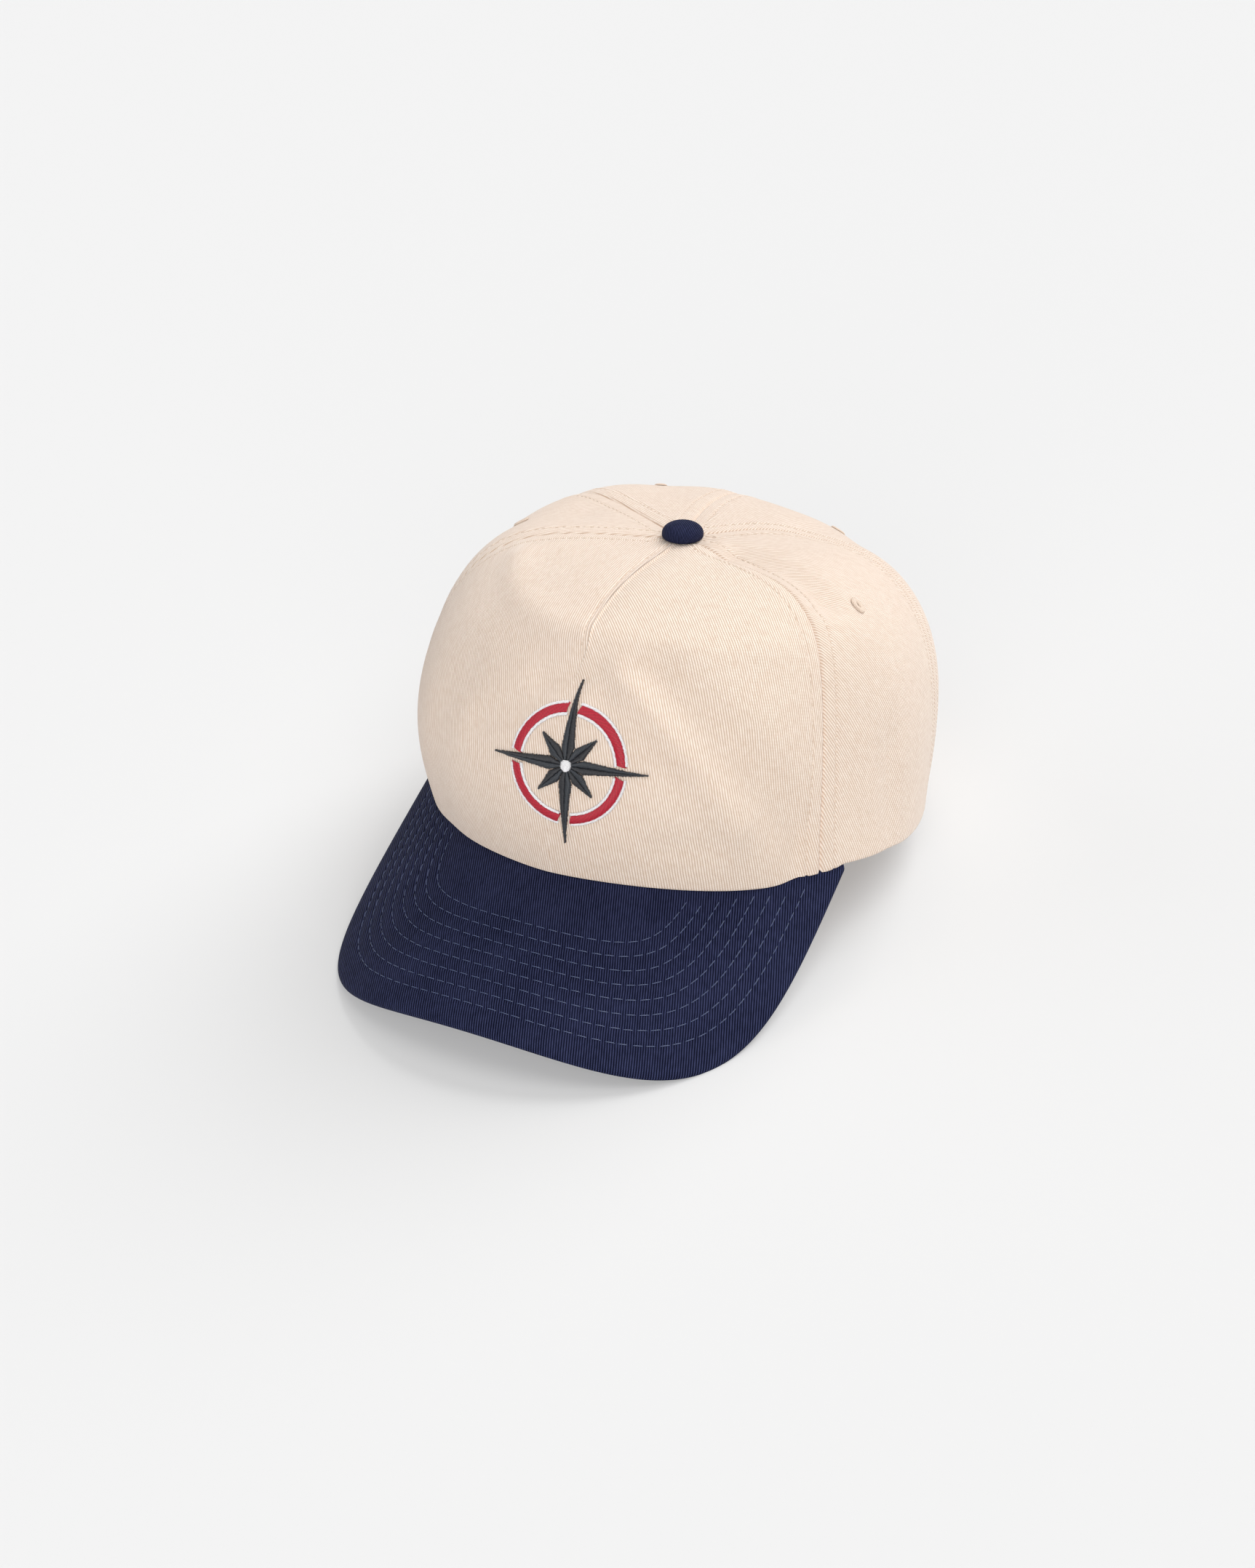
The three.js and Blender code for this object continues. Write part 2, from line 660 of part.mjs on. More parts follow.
// The lean at which the brim and the strap reach equally low, by halving.
function restingLean(brim, strap) {
  const brimCorners = cornersOf(brim);
  const strapCorners = cornersOf(strap);
  let low = -30 * DEG;
  let high = 15 * DEG;
  for (let pass = 0; pass < 40; pass += 1) {
    const middle = (low + high) / 2;
    const brimLower = lowestWhenLeant(brimCorners, middle) < lowestWhenLeant(strapCorners, middle);
    if (brimLower) high = middle;
    else low = middle;
  }
  return (low + high) / 2;
}

// The corners of a piece that lie below the table are pressed up to it.
function pressOnTable(mesh, leant) {
  mesh.updateMatrix();
  const toTable = leant.clone().multiply(mesh.matrix);
  const back = toTable.clone().invert();
  const attribute = mesh.geometry.attributes.position;
  const corner = new THREE.Vector3();
  for (let k = 0; k < attribute.count; k += 1) {
    corner.fromBufferAttribute(attribute, k).applyMatrix4(toTable);
    if (corner.z < 0) {
      corner.setZ(0).applyMatrix4(back);
      attribute.setXYZ(k, corner.x, corner.y, corner.z);
    }
  }
}

function buildCap() {
  const brim = makeBrim();
  const strap = makeStrap();
  const cap = new THREE.Group();
  cap.add(...makePanels(), makeButton(), brim, strap, ...makeEyelets(), makeStar(), ...makeRing());
  cap.rotation.x = restingLean(brim, strap);
  cap.position.z = -lowestWhenLeant(cornersOf(brim), cap.rotation.x) - restFlat;
  cap.updateMatrix();
  pressOnTable(brim, cap.matrix);
  pressOnTable(strap, cap.matrix);
  const resting = new THREE.Group();
  resting.add(cap);
  const box = new THREE.Box3().setFromObject(resting, true);
  const middle = box.getCenter(new THREE.Vector3());
  resting.position.set(-middle.x, -middle.y, -box.min.z);
  return resting;
}

export default buildCap();
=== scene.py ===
# %% [markdown]
# # A five-panel cotton cap
# A cap is sewn from a few shaped cloths: one wide front panel with a dart, two
# side panels and two back panels, closed at the top by a covered button. A brim
# of stiff board is covered in cloth and stitched round in rows.
# The CAD frame gives every piece its size and place. This lesson remakes each
# piece as fine cloth, thread and embroidery on the same sizes.
# %% Load the frame and note its box
import math
import bpy
import numpy as np
from mathutils import Matrix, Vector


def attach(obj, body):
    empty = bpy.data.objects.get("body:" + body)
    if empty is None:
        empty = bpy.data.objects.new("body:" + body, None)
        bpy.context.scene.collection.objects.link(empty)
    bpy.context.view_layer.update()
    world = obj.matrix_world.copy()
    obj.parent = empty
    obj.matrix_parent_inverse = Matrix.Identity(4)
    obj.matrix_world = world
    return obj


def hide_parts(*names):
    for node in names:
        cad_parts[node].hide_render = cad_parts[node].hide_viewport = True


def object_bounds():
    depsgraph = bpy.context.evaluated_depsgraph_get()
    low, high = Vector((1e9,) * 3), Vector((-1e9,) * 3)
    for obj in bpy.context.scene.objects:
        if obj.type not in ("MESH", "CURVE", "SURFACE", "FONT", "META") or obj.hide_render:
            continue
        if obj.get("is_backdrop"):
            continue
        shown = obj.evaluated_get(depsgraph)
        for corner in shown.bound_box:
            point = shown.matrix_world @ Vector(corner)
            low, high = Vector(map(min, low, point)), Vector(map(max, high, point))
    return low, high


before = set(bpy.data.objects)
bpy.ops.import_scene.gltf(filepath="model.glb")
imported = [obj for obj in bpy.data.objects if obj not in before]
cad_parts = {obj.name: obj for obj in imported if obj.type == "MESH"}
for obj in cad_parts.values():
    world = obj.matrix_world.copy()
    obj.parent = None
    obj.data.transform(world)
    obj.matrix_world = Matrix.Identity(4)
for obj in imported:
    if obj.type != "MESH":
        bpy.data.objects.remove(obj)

cad_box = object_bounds()
print("CAD box, mm:", [[round(v * 1000, 1) for v in corner] for corner in cad_box])

# %% [markdown]
# ## The cap's own frame
# It is easiest to describe a cap with its side hems level and its middle at the
# origin, in millimetres. On a table it leans back until the brim's two corners
# and the back band touch. So each shape is worked out in the cap's own frame
# and one function takes it to its place on the table.
# %% Take points from the cap's frame to the table
rest_lean = math.radians(-9.127571)
rest_shift = (1.07035, 22.157504, 14.641528)
degree = math.pi / 180


def turned_x(points, angle):
    """Points turned about the X axis by an angle."""
    x, y, z = np.moveaxis(np.asarray(points, float), -1, 0)
    cos, sin = math.cos(angle), math.sin(angle)
    return np.stack([x, y * cos - z * sin, y * sin + z * cos], axis=-1)


def on_table(points):
    """Metres on the table: lean the cap, shift it, and press up what would sink."""
    placed = turned_x(points, rest_lean) + np.array(rest_shift)
    placed[..., 2] = np.maximum(placed[..., 2], 0.0)
    return placed * 0.001


print("lean, degrees:", round(math.degrees(rest_lean), 2))

# %% [markdown]
# ## Camera
# The cap is seen from its front left, well above, through a fairly long lens,
# so its two sides hardly converge. Its place and its two angles are given in the
# cap's frame and lean with it. They were fitted to marks seen on the cap.
# %% Set the camera
focal_length, picture_height = 4146.67, 2156
eye = (498.683, -898.513, 502.000)
eye_turn, eye_rise = 30.0775 * degree, 25.6001 * degree
turn_sin, turn_cos = math.sin(eye_turn), math.cos(eye_turn)
rise_sin, rise_cos = math.sin(eye_rise), math.cos(eye_rise)
eye_right = (turn_cos, turn_sin, 0.0)
eye_up = (-rise_sin * turn_sin, rise_sin * turn_cos, rise_cos)
eye_back = (rise_cos * turn_sin, -rise_cos * turn_cos, rise_sin)

camera_data = bpy.data.cameras.new("camera")
camera_data.sensor_fit = "AUTO"
camera_data.sensor_width = 36.0
camera_data.lens = camera_data.sensor_width * focal_length / picture_height
camera_data.clip_end = 50.0
camera = bpy.data.objects.new("camera", camera_data)
bpy.context.scene.collection.objects.link(camera)
eye_place = (turned_x(eye, rest_lean) + np.array(rest_shift)) * 0.001
eye_axes = np.eye(4)
for column, axis in enumerate((eye_right, eye_up, eye_back)):
    eye_axes[:3, column] = turned_x(axis, rest_lean)
eye_axes[:3, 3] = eye_place
camera.matrix_world = Matrix(eye_axes.tolist())
bpy.context.scene.camera = camera
print("camera at, m:", eye_place.round(3))

# %% [markdown]
# ## Table and light
# A studio gives such a cap a white sweep and large soft lamps. A weak dome of
# light from the world fills every side, and four sun lamps with a wide disc stand
# for the softboxes: one behind, one high up, and low ones in front and beside.
# Suns light the whole table evenly, which keeps the backdrop plain. The paper
# also glows a little, which keeps the shadows on it pale.
# %% Make the table and the lamps
table_data = bpy.data.meshes.new("table_top")
table_data.from_pydata([(-9, -9, 0), (9, -9, 0), (9, 9, 0), (-9, 9, 0)], [], [(0, 1, 2, 3)])
table_top = bpy.data.objects.new("table_top", table_data)
bpy.context.scene.collection.objects.link(table_top)
paper = bpy.data.materials.new("white_paper")
paper.use_nodes = True
paper_shader = paper.node_tree.nodes["Principled BSDF"]
paper_shader.inputs["Base Color"].default_value = (0.50, 0.50, 0.50, 1)
paper_shader.inputs["Emission Color"].default_value = (1.0, 1.0, 1.0, 1)
paper_shader.inputs["Emission Strength"].default_value = 0.28
paper_shader.inputs["Roughness"].default_value = 1.0
paper_shader.inputs["Specular IOR Level"].default_value = 0.0
table_data.materials.append(paper)
table_top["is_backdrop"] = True

world = bpy.data.worlds.new("dome")
world.use_nodes = True
dome = world.node_tree.nodes["Background"]
dome.inputs["Color"].default_value = (1.0, 1.0, 1.0, 1)
dome.inputs["Strength"].default_value = 0.14
backdrop = world.node_tree.nodes.new("ShaderNodeBackground")
backdrop.inputs["Color"].default_value = (0.888, 0.888, 0.888, 1)
seen = world.node_tree.nodes.new("ShaderNodeLightPath")
choose = world.node_tree.nodes.new("ShaderNodeMixShader")
world.node_tree.links.new(seen.outputs["Is Camera Ray"], choose.inputs[0])
world.node_tree.links.new(dome.outputs[0], choose.inputs[1])
world.node_tree.links.new(backdrop.outputs[0], choose.inputs[2])
world.node_tree.links.new(choose.outputs[0], world.node_tree.nodes["World Output"].inputs[0])
bpy.context.scene.world = world
bpy.context.scene.view_settings.view_transform = "Standard"


def softbox(name, azimuth, elevation, strength, spread):
    """A sun with a wide disc. Azimuth is counted from the front to the cap's left."""
    lamp = bpy.data.lights.new(name, "SUN")
    lamp.energy = strength
    lamp.angle = math.radians(spread)
    around, above = math.radians(azimuth), math.radians(elevation)
    towards = np.array([math.sin(around) * math.cos(above),
                        -math.cos(around) * math.cos(above), math.sin(above)])
    side = np.cross((0, 0, 1), towards)
    side /= np.linalg.norm(side)
    axes = np.eye(4)
    axes[:3, 0], axes[:3, 1], axes[:3, 2] = side, np.cross(towards, side), towards
    holder = bpy.data.objects.new(name, lamp)
    holder.matrix_world = Matrix(axes.tolist())
    bpy.context.scene.collection.objects.link(holder)
    return holder


softbox("back_softbox", 165, 40, 2.6, 44)
softbox("high_softbox", 80, 64, 1.0, 44)
softbox("front_softbox", 26, 22, 1.7, 55)
softbox("right_softbox", -72, 24, 0.65, 55)

# %% [markdown]
# ## The crown as a formula
# Seen from above the hem is a rounded oval. Up any one turn the cloth rises
# steeply and rounds over to the button, so each section is a rounded corner
# whose two exponents come from a short table and change smoothly round the cap.
# The table was fitted to the cap's outline and seams, and then rounded.
# %% Sizes of the crown
crown_front_reach, crown_back_reach, crown_half_width = 95.2, 98.6, 94.6
crown_height, crown_roundness = 109.3, 1.83
crown_top_left, crown_top_forward = 1.8, 0.6
cloth_thick, clearance = 1.6, 0.3
front_hem_height, side_hem_bend, back_hem_turn = 14.5, 1.38, 170
brim_half_width, brim_reach, brim_root_line = 89.3, 116.8, 33.8
brim_thick, brim_tuck, brim_arch, brim_fall = 3.0, 4.0, 44.7, 35.5
brim_side_roundness, brim_front_roundness, brim_taper = 2.02, 3.99, 0.02
brim_length = brim_root_line + brim_reach - crown_front_reach
brim_end_turn = math.degrees(math.atan2(brim_half_width, brim_root_line))
bulge_hold = 0.15

section_turns = np.array([-135, -100, -70, -38, 0, 38, 70, 100, 135, 180], float)
section_values = {
    "side": np.array([8.4, 6.5, 4.9, 3.6, 3.5, 3.9, 4.8, 4.5, 4.0, 4.5]),
    "top": np.array([3.0, 2.7, 2.9, 2.5, 2.4, 2.5, 2.6, 2.7, 3.3, 2.6]),
    "swell": np.array([.068, .046, .039, .109, .057, .044, -.048, -.003, .081, .061]),
}
print("sections:", len(section_turns))

# %% The sections between the rows of the table


def section_value(column, turn):
    """A smooth closed curve through a column: the cubic whose slope at each row is
    the slope between its two neighbours."""
    values, count = section_values[column], len(section_turns)
    place = section_turns[0] + np.mod(turn - section_turns[0], 360)
    index = np.searchsorted(section_turns, place, side="right") - 1
    step = lambda k: (values[(index + k) % count],
                      section_turns[(index + k) % count] + 360 * np.floor((index + k) / count))
    (v0, a0), (v1, a1), (v2, a2), (v3, a3) = step(-1), step(0), step(1), step(2)
    span = a2 - a1
    s = (place - a1) / span
    slope_in, slope_out = (v2 - v0) / (a2 - a0) * span, (v3 - v1) / (a3 - a1) * span
    return ((2 * s**3 - 3 * s**2 + 1) * v1 + (s**3 - 2 * s**2 + s) * slope_in
            + (3 * s**2 - 2 * s**3) * v2 + (s**3 - s**2) * slope_out)


def hem_reach(turn):
    """Reach of the hem: the oval on which (side share)^n + (front share)^n = 1."""
    sine, cosine = np.sin(turn * degree), np.cos(turn * degree)
    reach = np.where(cosine > 0, crown_front_reach, crown_back_reach)
    n = crown_roundness
    return ((np.abs(sine) / crown_half_width) ** n + (np.abs(cosine) / reach) ** n) ** (-1 / n)


def brim_top(x, y):
    """Height of the brim: an arch across that falls towards the front."""
    fall = brim_fall * (y + crown_front_reach) / brim_length
    return front_hem_height + fall - brim_arch * (x / brim_half_width) ** 2


def hem_height(turn, x, y):
    """The hem lies on the brim, then comes down to the back by a power curve."""
    aside = np.abs(np.mod(turn + 180, 360) - 180)
    reach = hem_reach(np.array(brim_end_turn)) + np.hypot(x, y) - hem_reach(turn)
    end = brim_top(reach * math.sin(brim_end_turn * degree),
                   -reach * math.cos(brim_end_turn * degree)) + clearance
    share = np.clip((aside - brim_end_turn) / (back_hem_turn - brim_end_turn), 0, 1)
    return np.where(aside <= brim_end_turn, brim_top(x, y) + clearance,
                    end * (1 - share) ** side_hem_bend)


def section_point(turn, up):
    """Reach, height and rise of a section. up runs from 0 at the hem to 1 on top."""
    hem, side = hem_reach(turn), section_value("side", turn)
    closing = np.maximum(0, np.cos(up * math.pi / 2))
    rise = (1 - closing**side) ** (1 / section_value("top", turn))
    bulge = section_value("swell", turn) * crown_half_width * np.sin(math.pi * rise)
    reach = hem * closing + bulge * closing ** (bulge_hold * side)
    base = hem_height(turn, hem * np.sin(turn * degree), -hem * np.cos(turn * degree))
    return reach, base + (crown_height - base) * rise, rise


def up_at_height(turn, height):
    """The inverse of a section: the up at which it stands at a height."""
    hem = hem_reach(turn)
    base = hem_height(turn, hem * np.sin(turn * degree), -hem * np.cos(turn * degree))
    rise = np.clip((height - base) / (crown_height - base), 0, 1)
    closing = (1 - rise ** section_value("top", turn)) ** (1 / section_value("side", turn))
    return np.arccos(closing) * 2 / math.pi


print("front height at up 0.3:", section_point(np.array(0.0), 0.3)[1].round(1))

# %% [markdown]
# ## Seams, the dart and soft folds
# Where two panels join, the edges are turned in and sewn flat on each side. The
# cloth dips in a sharp crease, stands a little proud over the turned edges, and
# the thread pulls a fine valley along each sewn row. The dart is a pleat: the
# cloth on the wearer's right laps over that on the left with a rolled edge. Old
# folds from storage are broad troughs and ridges.
# %% Where the seams and folds are
seams = np.array([(-64, -73.6, 0.7), (62.8, 78.9, 1), (113, 155, 1.5), (180, 200, 1),
                  (246.6, 237.8, 1)])
seam_depth, seam_width, seam_fade = 0.65, 5.5, 14
dart_start, dart_depth, dart_width, dart_sewn = 0.46, 1.0, 5, 2.0
dart_at_hem, dart_at_top = 1.5, -1.0
dart_hook, dart_hook_height = 2.4, 0.075
stitch_aside = 5.6
crease_depth, crease_width = 0.85, 0.55
turned_edge_stand, sewn_row_depth, sewn_row_width = 0.32, 0.38, 0.6
folds = np.array([
    # turn, up, to turn, to up, width share, depth share (less than nought for a ridge)
    (23, .42, 57, .045, .075, .031), (13, .415, 42, .085, .055, -.017),
    (11, .345, 28, .175, .06, .012),
    (-6, .375, 15, .415, .055, .014), (3, .385, -18, .24, .08, .011),
    (-56, .56, -2, .5, .08, -.014), (6, .515, 56, .42, .075, -.009),
    (24.5, .059, 37.5, .056, .045, .006), (-30, .3, -34, .06, .12, .010),
    (86, .84, 80, .5, .075, .03), (84, .03, 86, .12, .06, .008),
    (140, .62, 150, .3, .14, .016), (-150, .6, -140, .28, .14, .014),
    (-98, .66, -90, .36, .11, .015)])


def seam_turn(seam, up):
    """A seam's turn: from its turn at the hem to that on top, by a power of up."""
    at_hem, at_top, bend = seam
    return at_hem + (at_top - at_hem) * np.maximum(up, 0) ** bend


def turn_between(start, end):
    return np.mod(end - start + 180, 360) - 180


def smooth(low, high, value):
    share = np.clip((value - low) / (high - low), 0, 1)
    return share * share * (3 - 2 * share)


def dart_turn(up):
    """The dart's turn: nearly a straight line that hooks to the left at its end."""
    hook = dart_hook * np.exp(-(((up - dart_start) / dart_hook_height) ** 2))
    return dart_at_hem + (dart_at_top - dart_at_hem) * up + hook


def fold_depth(turn, up, reach):
    """Sum of rounded valleys, each by the distance to the line between its ends."""
    total, meridian = 0.0, crown_height * 1.4
    for at, height, to, to_height, wide, deep in folds:
        line_x, line_y = reach * turn_between(at, to) * degree, meridian * (to_height - height)
        x, y = reach * turn_between(at, turn) * degree, meridian * (up - height)
        share = np.clip((x * line_x + y * line_y) / (line_x**2 + line_y**2), 0, 1)
        distance = np.hypot(x - share * line_x, y - share * line_y)
        width = wide * crown_half_width
        total = total + deep * crown_height * np.exp(-((distance / width) ** 2))
    return total


def relief(turn, up, reach):
    """How far the cloth stands out: seam valleys, creases, sewn rows, dart, folds."""
    nearest = np.min([reach * np.abs(turn_between(seam_turn(seam, up), turn)) * degree
                      for seam in seams], axis=0)
    fade = np.minimum(1, reach / seam_fade) ** 2
    stand = -seam_depth * np.exp(-((nearest / seam_width) ** 2)) * fade
    proud = turned_edge_stand * (1 - smooth(5.9, 8.4, nearest))
    crease = crease_depth * np.exp(-((nearest / crease_width) ** 2))
    sewn = sewn_row_depth * np.exp(-(((nearest - stitch_aside) / sewn_row_width) ** 2))
    stand += (proud - crease - sewn) * np.minimum(1, fade * 2)
    aside = reach * turn_between(dart_turn(up), turn) * degree
    held = smooth(dart_start, dart_start + 0.12, up) * fade
    stand -= dart_depth * np.exp(-((aside / dart_width) ** 2)) * held
    flap = np.where(aside < 0, np.exp(-((aside / 4.2) ** 2)), 1 - smooth(-0.1, 0.7, aside))
    gap = np.where(aside > 0, np.exp(-(((aside - 0.5) / 0.8) ** 2)), 0)
    row = np.exp(-(((aside + dart_sewn) / 0.5) ** 2))
    lapped = smooth(dart_start - 0.02, dart_start + 0.06, up) * fade
    stand += (0.75 * flap - 0.25 * gap - 0.3 * row) * lapped
    gather = 0.16 * np.cos(23 * turn * degree) * np.exp(-(((reach - 9) / 5) ** 2))
    return stand + gather - fold_depth(turn, up, reach)


print("seams:", len(seams), "folds:", len(folds))

# %% A point of the cloth and the way it faces


def crown_point(turn, up, inset=0.0, detail=1.0):
    """A point of the crown: the section, offset square to itself by relief less
    the inset, spun to its turn and drawn towards the button. It never goes
    below the hem. detail 0 leaves out the relief."""
    step = 0.004
    reach, height, rise = section_point(turn, up)
    below = section_point(turn, np.maximum(0, up - step))
    above = section_point(turn, up + step)
    out_reach, out_height = above[1] - below[1], below[0] - above[0]
    length = np.hypot(out_reach, out_height)
    stand = relief(turn, up, reach) * detail - inset
    reach = reach + stand * out_reach / length
    height = height + stand * out_height / length
    x = reach * np.sin(turn * degree) + crown_top_left * rise
    y = -reach * np.cos(turn * degree) - crown_top_forward * rise
    return np.stack([x, y, np.maximum(height, hem_height(turn, x, y))], axis=-1)


def unit(vectors):
    return vectors / np.maximum(np.linalg.norm(vectors, axis=-1, keepdims=True), 1e-12)


def crown_normal(turn, up):
    """The way the cloth faces: across the turn crossed with up the section."""
    across = crown_point(turn + 0.4, up) - crown_point(turn - 0.4, up)
    along = crown_point(turn, up + 0.008) - crown_point(turn, np.maximum(up - 0.008, 0))
    return unit(np.cross(across, along))


shank_radius, panel_top = 2.6, 0.982


def top_up(turn):
    """The up at which the crown closes round the button's shank."""
    return np.arccos((shank_radius + clearance) / hem_reach(turn)) * 2 / math.pi


table_turns = np.arange(-180, 181, 2.0)
table_ups = np.linspace(0, 1, 201)
table_points = crown_point(table_turns[:, None], table_ups[None, :])
table_lengths = np.concatenate(
    [np.zeros((len(table_turns), 1)),
     np.cumsum(np.linalg.norm(np.diff(table_points, axis=1), axis=-1), axis=1)], axis=1)


def length_up(turn, up):
    """Millimetres of cloth from the hem up to a point, read between table rows."""
    t = np.clip((np.mod(turn + 180, 360)) / 2, 0, len(table_turns) - 1.001)
    u = np.clip(up * 200, 0, 199.999)
    i, j = t.astype(int), u.astype(int)
    f, g = t - i, u - j
    return ((1 - f) * ((1 - g) * table_lengths[i, j] + g * table_lengths[i, j + 1])
            + f * ((1 - g) * table_lengths[i + 1, j] + g * table_lengths[i + 1, j + 1]))


even_share = table_lengths[100] / np.interp(panel_top, table_ups, table_lengths[100])
print("cloth from hem to button at the front, mm:", table_lengths[90, -4].round(1))

# %% [markdown]
# ## Twill and thread as shared effects
# Twill shows fine cords that run askew, with the crossing yarn breaking each
# cord into short slanted marks. Thread shows its twist. Both are used by many
# materials, so each is a node group that gives a shading and a height, and each
# material mixes two colours by the shading and drives a Bump by the height.
# The shading is painted shade in the grooves between cords and plies, with the
# yarn's real uneven tone in it; on the navy twill it is also a painted highlight
# on the cords.
# %% A helper that writes node formulas


class Formula:
    """Adds math nodes to a tree, so that a formula reads left to right."""

    def __init__(self, tree):
        self.tree = tree

    def node(self, kind, **sockets):
        made = self.tree.nodes.new(kind)
        for name, value in sockets.items():
            self.feed(made.inputs[name.replace("_", " ")], value)
        return made

    def feed(self, socket, value):
        if hasattr(value, "is_output"):
            self.tree.links.new(value, socket)
        else:
            socket.default_value = value

    def do(self, operation, *values):
        made = self.tree.nodes.new("ShaderNodeMath")
        made.operation = operation
        for socket, value in zip(made.inputs, values):
            self.feed(socket, value)
        return made.outputs[0]

    def add(self, a, b):
        return self.do("ADD", a, b)

    def times(self, a, b):
        return self.do("MULTIPLY", a, b)

    def wave(self, cycles):
        """0.5 + 0.5 cos of a number of whole cycles."""
        swing = self.do("COSINE", self.times(cycles, 2 * math.pi))
        return self.do("MULTIPLY_ADD", swing, 0.5, 0.5)

    def noise(self, vector, scale, detail=2.0):
        made = self.node("ShaderNodeTexNoise", Scale=scale, Detail=detail)
        self.tree.links.new(vector, made.inputs["Vector"])
        return made.outputs["Fac"]

    def vector(self, x, y, z=0.0):
        return self.node("ShaderNodeCombineXYZ", X=x, Y=y, Z=z).outputs[0]


def effect_group(name, inputs, outputs):
    """A shader node group with named number inputs and outputs."""
    tree = bpy.data.node_groups.new(name, "ShaderNodeTree")
    for label, default in inputs.items():
        socket = tree.interface.new_socket(label, in_out="INPUT", socket_type="NodeSocketFloat")
        socket.default_value = default
    for label in outputs:
        tree.interface.new_socket(label, in_out="OUTPUT", socket_type="NodeSocketFloat")
    entry, leave = tree.nodes.new("NodeGroupInput"), tree.nodes.new("NodeGroupOutput")
    return tree, Formula(tree), entry.outputs, leave.inputs


# %% The twill group
twill_group, f, given, result = effect_group(
    "twill_weave",
    {"Across": 0.0, "Along": 0.0, "Wale": 0.95, "Wander": 0.25, "Unevenness": 0.12,
     "Sharpness": 0.6},
    ["Shade", "Height"])
plane = f.vector(given["Across"], given["Along"])
drift = f.times(f.add(f.noise(plane, 0.09), -0.5), f.times(given["Wander"], 2.0))
cords = f.do("DIVIDE", f.add(given["Across"], drift), given["Wale"])
ridge = f.do("POWER", f.wave(cords), given["Sharpness"])
marks = f.wave(f.add(f.do("DIVIDE", given["Along"], 0.52), f.times(cords, 0.4)))
cord_number = f.do("ROUND", cords)
yarn = f.noise(f.vector(f.times(cord_number, 3.7), f.times(given["Along"], 0.35)), 1.0, 1.0)
patch = f.noise(plane, 0.055, 3.0)
swell = f.do("MULTIPLY_ADD", f.add(yarn, -0.5), 0.7, 1.0)
body = f.times(ridge, f.do("MULTIPLY_ADD", marks, 0.42, 0.62))
tone = f.times(f.add(f.add(patch, yarn), -1.0), given["Unevenness"])
# Shading: painted shade in the grooves and between the crossing marks (on navy also a painted
# highlight on the cords), plus the yarn's uneven tone.
f.tree.links.new(f.add(f.times(body, swell), tone), result["Shade"])
f.tree.links.new(f.times(body, swell), result["Height"])
print("twill nodes:", len(twill_group.nodes))

# %% The thread group
thread_group, f, given, result = effect_group(
    "thread_twist", {"Along": 0.0, "Around": 0.0, "Twist": 0.55, "Unevenness": 0.2},
    ["Shade", "Height"])
plies = f.wave(f.add(f.do("DIVIDE", given["Along"], given["Twist"]), given["Around"]))
hairs = f.noise(f.vector(f.times(given["Along"], 0.6), f.times(given["Around"], 9.0)), 1.0)
hair_tone = f.times(f.add(hairs, -0.5), given["Unevenness"])
# Darker between the plies: painted shade, plus the hairs' uneven tone.
ply_shade_and_tone = f.add(f.do("MULTIPLY_ADD", plies, 0.45, 0.45), hair_tone)
f.tree.links.new(ply_shade_and_tone, result["Shade"])
f.tree.links.new(plies, result["Height"])
print("thread nodes:", len(thread_group.nodes))

# %% The materials of cloth and thread
map_mm = 100


def woven_material(name, group, deep, light, bump_mm, settings, rough, sheen, specular=0.3):
    """Colours from deep to light by the group's painted shading, and a bump from its height.
    One unit of a piece's cloth map is map_mm millimetres. Round a thread it is
    one turn."""
    material = bpy.data.materials.new(name)
    material.use_nodes = True
    tree = material.node_tree
    shader = tree.nodes["Principled BSDF"]
    shader.inputs["Roughness"].default_value = rough
    shader.inputs["Specular IOR Level"].default_value = specular
    shader.inputs["Sheen Weight"].default_value = sheen
    shader.inputs["Sheen Roughness"].default_value = 0.5
    shader.inputs["Sheen Tint"].default_value = (1, 1, 1, 1)
    f = Formula(tree)
    place = tree.nodes.new("ShaderNodeUVMap")
    place.uv_map = "cloth"
    split = tree.nodes.new("ShaderNodeSeparateXYZ")
    tree.links.new(place.outputs[0], split.inputs[0])
    effect = tree.nodes.new("ShaderNodeGroup")
    effect.node_tree = group
    first, second = [socket.name for socket in effect.inputs[:2]]
    f.feed(effect.inputs[first], f.times(split.outputs["X"], map_mm))
    second_scale = map_mm if group is twill_group else 1
    f.feed(effect.inputs[second], f.times(split.outputs["Y"], second_scale))
    for label, value in settings.items():
        effect.inputs[label].default_value = value
    mix = tree.nodes.new("ShaderNodeMix")
    mix.data_type = "RGBA"
    mix.inputs[6].default_value = (*deep, 1)
    mix.inputs[7].default_value = (*light, 1)
    f.feed(mix.inputs[0], effect.outputs["Shade"])
    f.feed(shader.inputs["Base Color"], mix.outputs[2])
    bump = tree.nodes.new("ShaderNodeBump")
    bump.inputs["Strength"].default_value = 1.0
    bump.inputs["Distance"].default_value = bump_mm * 0.001
    f.feed(bump.inputs["Height"], effect.outputs["Height"])
    f.feed(shader.inputs["Normal"], bump.outputs["Normal"])
    return material


